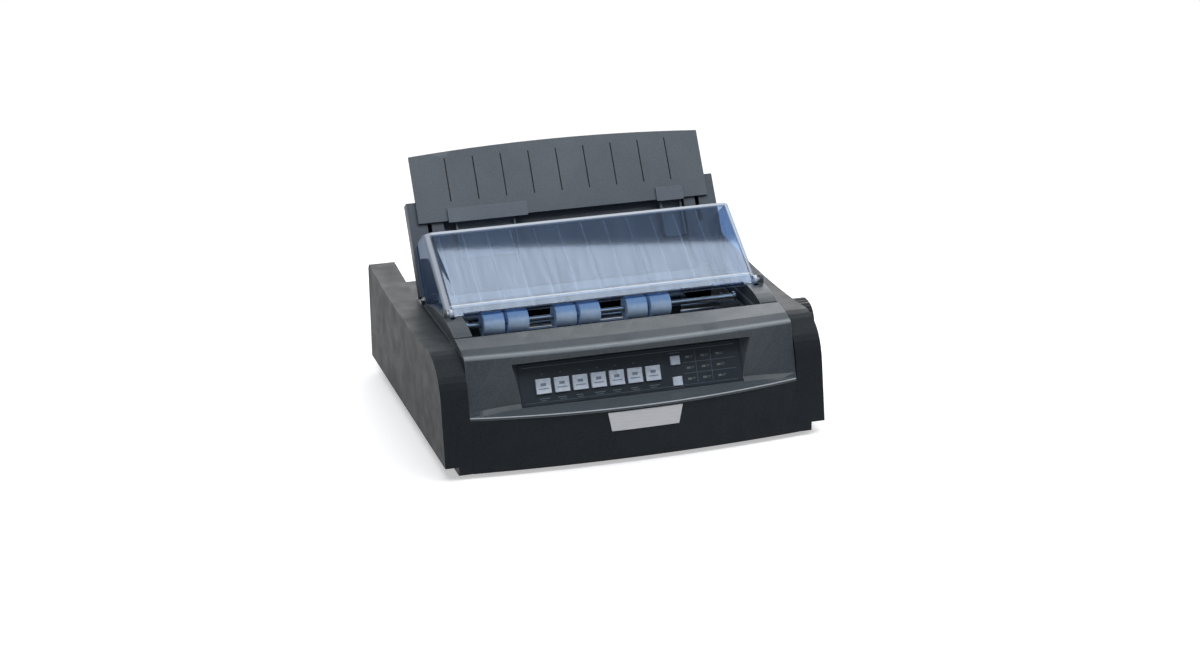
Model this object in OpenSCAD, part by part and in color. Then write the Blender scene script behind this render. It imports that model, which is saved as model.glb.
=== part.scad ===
// Dot matrix printer with a bowed front, a clear hinged access cover,
// a raised paper separator and a tractor feed. All sizes in millimetres.

/* [Case] */
// Width of the case over its two side cheeks
case_w = 398; // [380:1:430]
// Depth of the case from the middle of the bowed front to the back
case_d = 345; // [340:1:365]
// Width of one side cheek
cheek_w = 28; // [26:1:34]
// Height of the cheeks behind their rolled front
cheek_h = 117; // [115:1:122]
// Wall thickness of the case mouldings
wall = 2.6; // [2:0.1:3]
// How far the middle of the front stands ahead of its ends
front_bow = 12; // [8:1:16]
// How far the front leans back at the cheeks, up to the lip
front_lean = 8; // [4:1:10]
// Inset of the base under each cheek
base_inset = 14; // [8:1:18]
// Height at which the cheeks end above the inset base
base_h = 14; // [12:1:18]
// Height of the rear deck between the cheeks
deck_z = 94; // [88:1:98]
// Depth of the rear deck
deck_d = 83; // [70:1:86]
// Height of the rubber feet
foot_h = 4; // [3:0.5:6]
// Radius of the rubber feet
foot_r = 9; // [7:1:11]
// Gap between neighbouring case mouldings
seam = 0.5; // [0.3:0.1:0.8]

/* [Front cover] */
// Height of the lip under the control panel
lip_z = 61; // [58:1:64]
// Thickness of the lip at its front edge
lip_t = 3; // [3:0.5:5]
// How far the lip overhangs the apron
lip_over = 2.5; // [2:0.5:4]
// Depth of the ledge behind the lip at the middle
ledge_d = 25; // [20:1:27]
// Half of the length over which the lip stands out
lip_half = 166; // [150:1:170]
// Height of the crease along the front top edge
crease_z = 117; // [115:1:119]
// Setback of the crease at the cheeks
crease_end = 38; // [36:1:42]
// How far the crease bows forward in the middle
crease_bow = 9; // [5:1:10]
// Front edge of the paper opening, from the front
open_y = 75; // [74:1:77]
// Height of the front edge of the paper opening
open_z = 124; // [122:1:126]
// Half width of the paper opening
open_half = 152; // [151.5:0.5:155]
// Crown height of the side rails beside the opening
rail_z = 131; // [129:1:133]
// Height of the side rails at their rear end
rail_end_z = 113; // [110:1:114]
// Rear end of the side rails, from the front
rail_end_y = 213; // [208:1:214]

/* [Control panel] */
// Width of the control panel
panel_w = 232; // [220:1:236]
// Height of the control panel along its slope
panel_l = 42; // [40:1:43]
// Thickness of the control panel housing
panel_t = 4; // [3.5:0.5:5]
// Slope of the control panel from horizontal
panel_angle = 65.5; // [64:0.5:68]
// Width of a function key cap
key_w = 15.5; // [13:0.5:16]
// Height of a function key cap
key_h = 15; // [12:0.5:17]
// Spacing of the function keys
key_pitch = 19; // [18:0.5:20]
// Number of function keys
key_count = 7; // [7]
// Width of a small selector key
small_w = 10; // [8:0.5:10.5]
// Height of a small selector key
small_h = 9; // [7:0.5:10]
// Travel of a key
key_travel = 1.2; // [0.8:0.1:1.4]
// Clearance round each key cap
key_gap = 0.3; // [0.2:0.05:0.4]
// Width of the name plate on the apron
plate_w = 78; // [60:1:90]
// Height of the name plate
plate_h = 20; // [14:1:22]

/* [Access cover] */
// Distance of the cover pivot from the front
pivot_y = 122; // [121:0.5:123]
// Height of the cover pivot
pivot_z = 134; // [133.5:0.5:136]
// Half width of the clear cover
hood_half = 166.5; // [165:0.5:167]
// Thickness of the clear cover
hood_t = 2.4; // [2:0.2:2.8]
// Pitch of the moulded ribs inside the clear cover
hood_rib_pitch = 25.4; // [20:0.2:30]
// Width of the chamfer along each side of the clear cover
hood_chamfer = 9; // [6:1:11]

/* [Paper separator] */
// Distance of the separator hinge from the front
sep_y = 222; // [221:0.5:224]
// Height of the separator hinge
sep_z = 114; // [112:1:116]
// Slope of the raised separator from horizontal
sep_angle = 58; // [56:1:60]
// Length of the separator along its slope
sep_l = 106; // [100:1:112]
// Half width of the separator
sep_half = 169.5; // [167:0.5:170]
// Thickness of the separator over its flanges
sep_t = 12; // [11:0.5:14]
// Half width of the recess in the separator
recess_half = 133; // [131:1:135]
// Length of the sheet support
support_l = 79; // [70:1:86]
// Half width of the sheet support
support_half = 160; // [156:1:162]
// Thickness of the sheet support
support_t = 3; // [2.5:0.5:4]
// Rise of the arched top edge of the sheet support
support_arch = 6; // [3:1:9]
// Number of grooves across the sheet support
groove_count = 9; // [5:1:11]
// Spacing of the grooves
groove_pitch = 30.5; // [24:0.5:31]
// How far the sheet support slides down
support_travel = 26; // [15:1:27]

/* [Platen and rollers] */
// Distance of the platen axis from the front
platen_y = 113.5; // [113:0.5:114]
// Height of the platen axis
platen_z = 88; // [87:0.5:89]
// Radius of the rubber platen
platen_r = 20; // [18:0.5:20.5]
// Left end of the platen roller, from the middle of the case
platen_left = -138; // [-140:1:-120]
// Right end of the platen roller
platen_right = 110; // [100:1:120]
// Radius of the platen shaft
shaft_r = 4; // [3:0.5:5]
// Running clearance of shafts in their bores
run_gap = 0.05; // [0.02:0.01:0.1]
// Radius of the platen knob
knob_r = 22; // [18:1:25]
// Length of the platen knob
knob_l = 19; // [14:1:24]
// Radius of a bail roller
bail_r = 12.5; // [10:0.5:13]
// Width of a bail roller
bail_w = 22; // [16:1:23]
// Radius of the bail shaft
bail_shaft_r = 3; // [2.5:0.25:4]

/* [Print carriage] */
// Distance of the carriage shaft from the front
guide_y = 66; // [65:0.5:67]
// Height of the carriage shaft
guide_z = 60; // [59:0.5:61]
// Radius of the carriage shaft
guide_r = 5; // [4:0.5:6]
// Parked place of the carriage to the right of the middle
carriage_x = 98; // [80:1:100]
// Radius of the belt pulleys
pulley_r = 10; // [8:0.5:11]

/* [Feed gears] */
// Teeth of the platen gear
platen_teeth = 52; // [52]
// Teeth of the front idler gear
front_idler_teeth = 17; // [17]
// Teeth of the rear idler gear
rear_idler_teeth = 18; // [18]
// Teeth of the tractor gear
tractor_teeth = 32; // [32]
// Teeth of the motor pinion
pinion_teeth = 12; // [12]
// Gear module, the pitch diameter for each tooth
gear_module = 1; // [0.95:0.05:1]
// Width of the gears
gear_w = 6; // [4:0.5:7]

/* [Hidden] */
$fn = 48;
half_w = case_w / 2;
inner_w = half_w - cheek_w;
base_w = half_w - base_inset;
cover_half = inner_w - seam;
knob_x = half_w + 1;
mid_x = (knob_x + knob_l - half_w) / 2;
cheek_end_h = cheek_h + 3;
deck_y = case_d - deck_d;
floor_z = foot_h + wall;
apron_h = lip_z - lip_t;

// ---------- shared forms ----------

// Moves a piece from case measures to the middle of the whole footprint.
module placed() {
    translate([-mid_x, -case_d / 2, 0])
        children();
}

// Extrudes a side view, drawn as depth and height, from one x to another.
module slab(x0, x1) {
    translate([x0, 0, 0])
        rotate([90, 0, 90])
            linear_extrude(x1 - x0)
                children();
}

// A round bar along the width of the case.
module bar(x0, x1, y, z, r) {
    translate([x0, y, z])
        rotate([0, 90, 0])
            cylinder(h = x1 - x0, r = r);
}

// A box from its lowest to its highest corner.
module block(a, b) {
    translate(a)
        cube(b - a);
}

// The same piece on the left and on the right.
module both_sides() {
    children();
    mirror([1, 0, 0])
        children();
}

function unit(v) = v / norm(v);
function turned(v) = [v[1], -v[0]];
function edge_normal(p, i) = turned(unit(p[(i + 1) % len(p)] - p[i]));
function inset_point(p, i, t) =
    let (a = edge_normal(p, (i + len(p) - 1) % len(p)), b = edge_normal(p, i))
    p[i] + t * (a + b) / (1 + a * b);
// An outline drawn clockwise, moved inwards by t.
function inset(p, t) = [for (i = [0 : len(p) - 1]) inset_point(p, i, t)];
// A curve from a to c that leaves and arrives in line with b.
function curve(a, b, c, n) =
    [for (i = [0 : n]) let (t = i / n) (1 - t) * (1 - t) * a + 2 * t * (1 - t) * b + t * t * c];
function stations(half, n) = [for (i = [-n : n]) half * i / n];
function across(x, outline) = [for (q = outline) [x, q[0], q[1]]];
function loft_faces(m, n) = concat(
    [[for (j = [n - 1 : -1 : 0]) j]],
    [[for (j = [0 : n - 1]) (m - 1) * n + j]],
    [for (i = [0 : m - 2]) for (j = [0 : n - 1]) for (k = [0, 1])
        let (a = i * n + j, b = i * n + (j + 1) % n)
        k == 0 ? [a, b, b + n] : [a, b + n, a + n]]);

// A skin through outlines that stand one after another along the width.
module loft(sections) {
    polyhedron(points = [for (s = sections) each s],
        faces = loft_faces(len(sections), len(sections[0])), convexity = 8);
}

// ---------- outer shape of the case ----------

function span(x) = min(1, pow(x / inner_w, 2));
function base_front(x) = lip_over + (front_bow - lip_over) * span(x);
function lip_y(x) = (front_bow + front_lean) * span(x);
function apron_y(x, z) = base_front(x)
    + (front_lean * span(x)) * max(0, z - base_h) / (lip_z - base_h);
cheek_roll = curve([front_bow + front_lean + 2, 75], [front_bow + 16, cheek_h - 5],
    [66, cheek_h], 9);
cheek_top = curve([66, cheek_h], [197, cheek_h - 11.5], [case_d - 5, cheek_end_h], 10);
cheek_outline = concat([[front_bow, base_h]], cheek_roll,
    [for (i = [1 : 10]) cheek_top[i]],
    [[case_d, cheek_end_h - 5], [case_d, base_h]]);
function open_below(p, z) = [for (i = [0 : len(p) - 1])
    (i == 0 || i == len(p) - 1) ? [p[i][0], z] : p[i]];
cheek_cavity = open_below(inset(cheek_outline, wall), base_h - 1);
plan_front = [for (x = stations(base_w, 14)) [x, base_front(x)]];
function plan(back, t) = [for (q = concat([for (q = plan_front) [q[0], q[1] + t]],
    [[base_w, back], [-base_w, back]])) q];

// ---------- case ----------

foot_places = [[-150, 50], [150, 50], [-150, 305], [150, 305]];
screw_x = inner_w + wall + 5;
screw_rows = [90, 320];
screw_places = [for (y = screw_rows) each [[-screw_x, y], [screw_x, y]]];
post_places = [[-130, 70], [130, 70], [-130, 205], [130, 205]];
chassis_z = 9;
chassis_t = 2;
boss_r = 6;
screw_r = 1.5;
screw_head_r = 3;
tray_gap = wall + seam;

module tray_outline() {
    polygon(concat([for (q = plan_front) [q[0] * (base_w - 0.01) / base_w, q[1] + tray_gap]],
        [[base_w, case_d - tray_gap], [-base_w, case_d - tray_gap]]));
}

module tray_cavity() {
    edge = base_w - wall;
    polygon(concat([for (x = stations(edge, 14)) [x, base_front(x) + tray_gap + wall]],
        [[edge, case_d - tray_gap - wall], [-edge, case_d - tray_gap - wall]]));
}

slot_l = 36;
slot_w = 4;
slot_pitch = 12;

module vent_row(y, n) {
    for (i = [0 : n - 1])
        translate([(i - (n - 1) / 2) * slot_pitch - slot_w / 2, y, 0])
            cube([slot_w, slot_l, base_h]);
}

// The open tray under the mechanism, with vents and screw bosses.
module lower_case() {
    color("#2c2f34") placed() {
        difference() {
            union() {
                difference() {
                    translate([0, 0, foot_h])
                        linear_extrude(base_h - foot_h)
                            tray_outline();
                    translate([0, 0, floor_z])
                        linear_extrude(base_h)
                            tray_cavity();
                }
                for (p = screw_places)
                    translate([p[0], p[1], foot_h])
                        cylinder(h = base_h - foot_h, r = boss_r);
                for (p = foot_places)
                    translate([p[0], p[1], foot_h])
                        cylinder(h = wall + 2, r = foot_r + 2);
                for (p = post_places)
                    translate([p[0], p[1], foot_h])
                        cylinder(h = chassis_z - foot_h, r = 5);
            }
            vent_row(80, 8);
            vent_row(180, 14);
            for (p = screw_places) {
                translate([p[0], p[1], foot_h - 1])
                    cylinder(h = base_h, r = screw_r + 0.3);
                translate([p[0], p[1], foot_h - 1])
                    cylinder(h = 4, r = screw_head_r + 0.5);
            }
            for (p = foot_places)
                translate([p[0], p[1], foot_h - 1])
                    cylinder(h = 2.5, r = foot_r - 2 + 0.05);
        }
    }
}

module rubber_feet() {
    color("#1b1b1c") placed()
        for (p = foot_places)
            translate([p[0], p[1], 0]) {
                cylinder(h = foot_h, r = foot_r);
                cylinder(h = foot_h + 1.4, r = foot_r - 2);
            }
}

module case_screws() {
    color("#8d8f92") placed()
        for (p = screw_places)
            translate([p[0], p[1], foot_h + 1])
                difference() {
                    union() {
                        cylinder(h = 2, r = screw_head_r);
                        cylinder(h = base_h - foot_h + 4, r = screw_r);
                    }
                    for (turn = [0, 90])
                        rotate([0, 0, turn])
                            translate([-2, -0.4, -0.01])
                                cube([4, 0.8, 1]);
                }
}

shaft_hole_r = shaft_r + 1;
inlet_x = 100;
inlet_z = 42;
inlet_w = 66;
inlet_h = 24;
port_x = -60;
port_z = 24;
port_w = 62;
port_h = 16;
louvre_h = 3;
louvre_pitch = 8;
louvre_count = 4;

module back_hole(x, z, w, h) {
    translate([x - w / 2, case_d - 3 * wall, z - h / 2])
        cube([w, 4 * wall, h]);
}

module cheek() {
    difference() {
        slab(inner_w, half_w)
            polygon(cheek_outline);
        slab(inner_w + wall, half_w - wall)
            polygon(cheek_cavity);
    }
    for (y = screw_rows)
        difference() {
            block([inner_w + wall - 0.5, y - 6, base_h], [screw_x + 5.4, y + 6, base_h + 12]);
            translate([screw_x, y, base_h - 1])
                cylinder(h = 9, r = screw_r + run_gap);
        }
}

// Front wall of the case between the cheeks, leaning back towards them.
module apron() {
    flange = 10;
    edge = inner_w - 0.1;
    difference() {
        loft([for (x = stations(-edge, 11))
            let (low = base_front(x), high = apron_y(x, apron_h))
            across(x, [[low + wall, foot_h + 1], [low + wall, base_h], [high + wall, apron_h - wall],
                [high + flange, apron_h - wall], [high + flange, apron_h], [high, apron_h],
                [low, base_h], [low, foot_h + 1]])]);
        for (x = [-120, -40, 40, 120])
            translate([x - 4, apron_y(x, apron_h) + wall + 1.5, apron_h - 2 * wall])
                cube([8, 4, 3 * wall]);
    }
}

// Cheeks, rear deck and back wall in one moulding, with the apron set between the cheeks.
module upper_case() {
    color("#3a3d42") placed() {
        difference() {
            union() {
                both_sides()
                    cheek();
                both_sides()
                    block([inner_w, front_bow + 0.3, foot_h + 1],
                        [base_w, front_bow + wall - 0.3, base_h + 0.8]);
                block([-inner_w - 1, deck_y, deck_z - wall], [inner_w + 1, case_d, deck_z]);
                block([-inner_w - 1, deck_y, deck_z - 12], [inner_w + 1, deck_y + wall, deck_z]);
                block([-inner_w - 1, case_d - wall, foot_h + 1], [inner_w + 1, case_d, deck_z]);
                both_sides()
                    block([inner_w - 1, case_d - wall + 0.5, foot_h + 1], [base_w, case_d, base_h + 1]);
                both_sides()
                    block([inner_w - 6, open_y + 15, rail_end_z - 8 - wall],
                        [inner_w + 1, rail_end_y - 5, rail_end_z - 8]);
                bar(-inner_w - 1, lever_x + lever_t + 1, lever_y, lever_z, lever_pin_r);
            }
            bar(inner_w - 1, half_w + 1, platen_y, platen_z, shaft_hole_r);
            back_hole(inlet_x, inlet_z, inlet_w + 0.2, inlet_h + 0.2);
            back_hole(port_x, port_z, port_w + 0.4, port_h + 0.4);
            for (i = [0 : louvre_count - 1])
                back_hole(20, 60 + i * louvre_pitch, 90, louvre_h);
        }
        apron();
    }
}

// ---------- front cover ----------

function ledge(x) = 1.5 + (ledge_d - 1.5) * (1 - pow(min(1, abs(x) / lip_half), 4));
function crease_y(x) = crease_end - crease_bow * (1 - span(x));
function mix(a, b, t) = a + (b - a) * t;
edge_back = open_y + 2;
edge_drop = 6;
// Outline of the cover from the lip up to the top, just before the opening.
function cover_face(x) =
    let (y0 = lip_y(x), y1 = y0 + ledge(x), y2 = crease_y(x))
    [[y0, apron_h], [y0, lip_z - 0.8], [y0 + 0.8, lip_z],
        [mix(y0, y1, 0.5), lip_z + 0.6], [y1 - min(3, ledge(x) / 2), lip_z + 1.2],
        [mix(y1, y2, 0.08), lip_z + 5], [mix(y1, y2, 0.45) + 1, mix(lip_z, crease_z, 0.5)],
        [y2 - 0.8, crease_z - 3], [y2 + 1, crease_z - 0.5],
        [mix(y2, open_y, 0.4), mix(crease_z, open_z, 0.45) + 0.4]];
function cover_solid(x) = concat(cover_face(x),
    [[open_y, open_z], [edge_back, open_z - 1], [edge_back, apron_h]]);
cover_floor = apron_h + 1.2;
function cover_hollow(x) =
    let (q = inset(concat(cover_face(x), [[edge_back, open_z], [edge_back, apron_h]]), wall),
        n = len(q) - 1)
    concat([[q[5][0], cover_floor]], [for (i = [5 : n - 1]) q[i]], [[q[n][0], cover_floor]]);
function rail_top(y) = y < pivot_y
    ? rail_z - (rail_z - open_z) * pow((pivot_y - y) / (pivot_y - open_y), 2)
    : rail_z - (rail_z - rail_end_z) * pow((y - pivot_y) / (rail_end_y - pivot_y), 2);
rail_line = [for (i = [0 : 16]) let (y = mix(edge_back, rail_end_y, i / 16)) [y, rail_top(y)]];
function rail_strip(drop) = concat(rail_line, [for (i = [16 : -1 : 0]) rail_line[i] - [0, drop]]);
function rail_skirt(z) = concat(rail_line, [[rail_end_y, z], [edge_back, z]]);

panel_y = 26;
panel_z = lip_z + 1.3;
flare = 20;
flare_depth = 30;

// Places a piece on the sloping control panel: width, height along the slope, outward.
module on_panel() {
    translate([0, panel_y, panel_z])
        rotate([panel_angle, 0, 0])
            children();
}

// The recess round the control panel, flaring out towards the ledge and the crease.
module panel_recess(extra) {
    w0 = panel_w / 2 + 0.3 + extra;
    w1 = w0 + flare;
    low = -flare_depth * cos(panel_angle) / sin(panel_angle) - extra;
    high = panel_l + 1.5 + extra;
    near = -0.01;
    block([-w0, -extra, -panel_t - extra], [w0, high, 0]);
    polyhedron(
        points = [[-w0, -extra, near], [w0, -extra, near], [w0, high, near], [-w0, high, near],
            [-w1, low, flare_depth], [w1, low, flare_depth], [w1, high - 0.5, flare_depth],
            [-w1, high - 0.5, flare_depth]],
        faces = [[0, 1, 2, 3], [7, 6, 5, 4], [4, 5, 1, 0], [5, 6, 2, 1], [6, 7, 3, 2],
            [7, 4, 0, 3]]);
}

lug_r = 5;
pin_r = 2;
hood_ear_x = 160;
hood_ear_t = 4;
rail_lug_x = 167.2;
sep_lug_x = 152;
sep_lug_w = 5;
sep_pin_r = 2.5;
sep_ear_w = 6;
sep_lug_r = 6;

module rail() {
    slab(open_half, cover_half)
        polygon(rail_strip(wall));
    slab(open_half, open_half + wall)
        polygon(rail_skirt(rail_end_z - 15));
    slab(cover_half - wall, cover_half)
        polygon(rail_skirt(rail_end_z - 8));
    block([open_half, rail_end_y - wall, rail_end_z - 8], [cover_half, rail_end_y, rail_end_z]);
    bar(rail_lug_x, cover_half, pivot_y, pivot_z, lug_r);
    block([rail_lug_x, pivot_y - lug_r, rail_z - wall], [cover_half, pivot_y + lug_r, pivot_z]);
    bar(sep_lug_x, sep_lug_x + sep_lug_w, sep_y, sep_z, sep_lug_r);
    bar(sep_lug_x, sep_lug_x + sep_lug_w + sep_ear_w + 0.6, sep_y, sep_z, sep_pin_r);
    block([sep_lug_x, rail_end_y - 2 * wall, sep_z - sep_lug_r],
        [sep_lug_x + sep_lug_w, sep_y, sep_z - 1]);
}

// Lip, recessed face, crease and top in one thin moulding.
module front_cover() {
    color("#6d747c") placed()
        difference() {
            loft([for (x = stations(cover_half, 11)) across(x, cover_solid(x))]);
            difference() {
                loft([for (x = stations(cover_half - wall, 11)) across(x, cover_hollow(x))]);
                on_panel()
                    panel_recess(wall);
            }
            on_panel()
                panel_recess(0);
            slab(-cover_half + 4 * wall, cover_half - 4 * wall)
                polygon([[panel_y + 10, apron_h - 1], [edge_back + 1, apron_h - 1],
                    [edge_back + 1, open_z - edge_drop], [edge_back - wall - 1, open_z - edge_drop],
                    [edge_back - wall - 1, cover_floor + 1], [panel_y + 10, cover_floor + 1]]);
        }
}

// Arched side rails of the opening, with the bores and pins of both hinges.
module side_rails() {
    color("#5c6269") placed() both_sides()
        difference() {
            rail();
            bar(rail_lug_x - 1, cover_half + 1, pivot_y, pivot_z, pin_r + run_gap);
            block([open_half - 1, pivot_y - 3.6, pivot_z - 4.4],
                [hood_ear_x - 0.9, pivot_y + 4, rail_z + 6]);
            block([hood_ear_x - 1, pivot_y - lug_r - 4, rail_z - 20],
                [hood_ear_x + hood_ear_t + 0.6, pivot_y + lug_r + 2, rail_z + 1]);
        }
}

// ---------- control panel ----------

key_depth = panel_t - key_travel - 0.3;
key_proud = 2;
first_key_x = -92;
key_v = 19;
small_x = 46.5;
mode_v = 29;
pitch_v = 8;
lamp_w = 4;
lamp_h = 2;
lamp_depth = 1.5;
lamp_x = [60, 76, 92];
lamp_v = [9, 20, 31];

function key_x(i) = first_key_x + i * key_pitch;

module window(x, v, w, h, deep) {
    translate([x - w / 2, v - h / 2, -deep])
        cube([w, h, 2 * deep]);
}

module lamp_array() {
    for (x = lamp_x)
        for (v = lamp_v)
            translate([x - lamp_w / 2, v - lamp_h / 2, -lamp_depth])
                cube([lamp_w, lamp_h, lamp_depth]);
}

module control_panel() {
    color("#3c444c") placed() on_panel()
        difference() {
            translate([-panel_w / 2, 0.3, -panel_t])
                cube([panel_w, panel_l, panel_t]);
            for (i = [0 : key_count - 1])
                window(key_x(i), key_v, key_w + 2 * key_gap, key_h + 2 * key_gap, 2 * panel_t);
            window(small_x, mode_v, small_w + 2 * key_gap, small_h + 2 * key_gap, 2 * panel_t);
            window(small_x, pitch_v, small_w + 2 * key_gap, small_h + 2 * key_gap, 2 * panel_t);
            for (x = lamp_x)
                for (v = lamp_v)
                    window(x, v, lamp_w, lamp_h, lamp_depth);
        }
}

module lamp_lenses() {
    color("#8fa58f") placed() on_panel()
        lamp_array();
}

// A key cap with a dished top, standing a little out of the panel.
module key(x, v, w, h) {
    dish_r = 40;
    color("#dfe6f0") placed() on_panel()
        difference() {
            translate([x - w / 2, v - h / 2, -key_depth])
                cube([w, h, key_depth + key_proud]);
            translate([x - w, v, key_proud + dish_r - 0.5])
                rotate([0, 90, 0])
                    cylinder(h = 2 * w, r = dish_r);
        }
}

module key_1() { key(key_x(0), key_v, key_w, key_h); }
module key_2() { key(key_x(1), key_v, key_w, key_h); }
module key_3() { key(key_x(2), key_v, key_w, key_h); }
module key_4() { key(key_x(3), key_v, key_w, key_h); }
module key_5() { key(key_x(4), key_v, key_w, key_h); }
module key_6() { key(key_x(5), key_v, key_w, key_h); }
module key_7() { key(key_x(6), key_v, key_w, key_h); }
module mode_key() { key(small_x, mode_v, small_w, small_h); }
module pitch_key() { key(small_x, pitch_v, small_w, small_h); }

plate_x = 4;
plate_z = 36;
plate_t = 1.2;
plate_taper = 4;
glue_t = 0.08;

// Bare plate that follows the bow of the apron.
module name_plate() {
    color("#c9ccd0") placed()
        loft([for (i = [-6 : 6])
            let (top = plate_x + i / 12 * plate_w, low = plate_x + i / 12 * (plate_w - 2 * plate_taper),
                yt = apron_y(top, plate_z + plate_h), yl = apron_y(low, plate_z))
            [[low, yl - plate_t, plate_z], [top, yt - plate_t, plate_z + plate_h],
                [top, yt - glue_t, plate_z + plate_h], [low, yl - glue_t, plate_z]]]);
}

// ---------- clear access cover ----------

facet_y = pivot_y + 7;
facet_z = pivot_z + 4;
facet_angle = 32.5;
facet_l = 99;
hood_drop = 4;
hood_lift = 0.6;
hood_front = pivot_y - 3;
hood_back_z = 165;
sep_gap = 3;
function sep_line(z) = sep_y + (z - sep_z) / tan(sep_angle) - sep_gap;
hood_top = [facet_y + facet_l * cos(facet_angle), facet_z + facet_l * sin(facet_angle)];
hood_foot = [for (i = [8 : -1 : 0])
    let (y = mix(hood_front, rail_end_y, i / 8)) [y, rail_top(y) + hood_lift]];
hood_outline = concat([[hood_front, facet_z - 4.5], [facet_y, facet_z], hood_top,
    [sep_line(hood_back_z), hood_back_z], [sep_line(sep_z + 14), sep_z + 14]], hood_foot);

// Long prism along the slope of the cover, with chamfered sides.
module hood_prism(t) {
    w = hood_half - t;
    translate([0, facet_y, facet_z])
        rotate([facet_angle - 90, 0, 0])
            translate([0, 0, -90])
                linear_extrude(280)
                    polygon([[-w, 120], [-w, hood_chamfer * 0.7 + t / 2],
                        [hood_chamfer * 0.8 - w, t], [w - hood_chamfer * 0.8, t],
                        [w, hood_chamfer * 0.7 + t / 2], [w, 120]]);
}

hood_cavity = [[hood_front + hood_t, rail_z - 20], [hood_front + hood_t, facet_z - 4.5 - hood_t * 0.7],
    [facet_y + hood_t * 0.2, facet_z - hood_t * 1.1], hood_top + [30, 30 * tan(facet_angle) - hood_t * 1.2],
    [facet_y + 160, rail_z - 20]];

// Clear cover: sloping window, chamfered sides, ribs and two pivot ears with pins.
module access_cover() {
    rib_count = floor(2 * (hood_half - 14) / hood_rib_pitch);
    color([0.62, 0.74, 0.86, 0.45]) placed() {
        difference() {
            intersection() {
                slab(-hood_half, hood_half)
                    polygon(hood_outline);
                hood_prism(0);
            }
            intersection() {
                slab(-hood_half, hood_half)
                    polygon(hood_cavity);
                hood_prism(hood_t);
            }
        }
        for (i = [0 : rib_count])
            translate([(i - rib_count / 2) * hood_rib_pitch - 0.6, facet_y, facet_z])
                rotate([facet_angle, 0, 0])
                    translate([0, 6, -hood_t - 1.2])
                        cube([1.2, facet_l - 12, 1.6]);
        block([-open_half + 2, hood_front, facet_z - 4.5 - hood_drop],
            [open_half - 2, hood_front + hood_t, facet_z - 4.6]);
        both_sides() {
            bar(hood_ear_x, hood_ear_x + hood_ear_t, pivot_y, pivot_z, lug_r - 0.5);
            bar(hood_ear_x, cover_half - 0.3, pivot_y, pivot_z, pin_r);
        }
    }
}

// ---------- paper separator ----------

// Places a piece on the raised separator: width, distance up the slope, outward.
module on_separator() {
    translate([0, sep_y, sep_z])
        rotate([sep_angle, 0, 0])
            children();
}

skin_t = 3;
recess_d = 8;
runner_x = 146;
runner_w = 4;
support_low = sep_l - 24;
support_gap = 0.3;
runner_l = 14;
slot_low = support_low - support_travel;

module paper_separator() {
    color("#565e68") placed() on_separator() {
        difference() {
            union() {
                block([-sep_half, 5, -sep_t], [sep_half, sep_l, 0]);
                both_sides()
                    bar(sep_lug_x + sep_lug_w + 0.3, sep_lug_x + sep_lug_w + 0.3 + sep_ear_w,
                        0, 0, sep_lug_r - 0.5);
                both_sides()
                    block([sep_lug_x + sep_lug_w + 0.3, 0, -sep_lug_r + 0.5],
                        [sep_lug_x + sep_lug_w + 0.3 + sep_ear_w, 8, 1.5 - skin_t]);
            }
            both_sides()
                block([recess_half + wall, 4, -sep_t - 1], [sep_half - wall, sep_l - wall, -skin_t]);
            block([-recess_half - wall, 4, -sep_t - 1],
                [recess_half + wall, sep_l - wall, -recess_d - wall]);
            block([-recess_half, 10, -recess_d], [recess_half, sep_l + 1, 1]);
            both_sides()
                block([sep_lug_x - 1, 4, -sep_t - 1],
                    [sep_lug_x + sep_lug_w + 0.15, 8, 1]);
            both_sides()
                bar(sep_lug_x, sep_half - wall - 1, 0, 0, sep_pin_r + run_gap);
            both_sides()
                block([runner_x - 0.3, slot_low - 1, -skin_t - 1],
                    [runner_x + runner_w + 0.3, sep_l + 1, 1]);
        }
    }
}

arch_r = support_half * support_half / (2 * support_arch) + support_arch / 2;

module support_plan() {
    top = support_low + support_l;
    intersection() {
        translate([-support_half, support_low])
            square([2 * support_half, support_l + support_arch]);
        translate([0, top - arch_r + support_arch - support_arch])
            circle(r = arch_r, $fn = 360);
    }
}

// Upper plate that carries the sheets, with grooves and runners behind.
module sheet_support() {
    color("#6a7480") placed() on_separator()
        difference() {
            union() {
                translate([0, 0, support_gap])
                    linear_extrude(support_t)
                        support_plan();
                both_sides() {
                    block([runner_x, support_low + 1, -skin_t - support_gap - 0.01],
                        [runner_x + runner_w, support_low + 1 + runner_l, support_gap + 0.5]);
                    block([runner_x - 3, support_low + 1, -skin_t - support_gap - 2],
                        [runner_x + runner_w + 3, support_low + 1 + runner_l,
                            -skin_t - support_gap]);
                }
            }
            for (i = [0 : groove_count - 1])
                translate([(i - (groove_count - 1) / 2) * groove_pitch - 0.6,
                    support_low + support_l - 58, support_gap + support_t - 1])
                    cube([1.2, 47, 2]);
        }
}

clip_gap = 0.3;
clip_t = 2;

// Guide clipped over the lower edge of the sheet support, its fence in the recess.
module sheet_guide(x0, x1, lip_x0, lip_x1) {
    front = support_gap + support_t + clip_gap;
    color("#7d8793") placed() on_separator() {
        block([lip_x0, support_low - clip_gap - clip_t, front],
            [lip_x1, support_low + 13, front + clip_t]);
        block([x0, support_low - clip_gap - clip_t, -clip_gap - clip_t + support_gap],
            [x1, support_low - clip_gap, front + clip_t]);
        block([x0, support_low - clip_gap - clip_t, -clip_gap - clip_t + support_gap],
            [x1, support_low + 10, support_gap - clip_gap]);
        block([x0, support_low - 40, -recess_d + 0.6],
            [x1, support_low - clip_gap, -recess_d + 0.6 + clip_t]);
        block([x0, support_low - clip_gap - clip_t, -recess_d + 0.6],
            [x1, support_low - clip_gap, front]);
        for (x = [x0, x1 - clip_t])
            block([x, support_low - 40, -recess_d + 0.6], [x + clip_t, support_low - clip_gap, 0]);
    }
}

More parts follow.
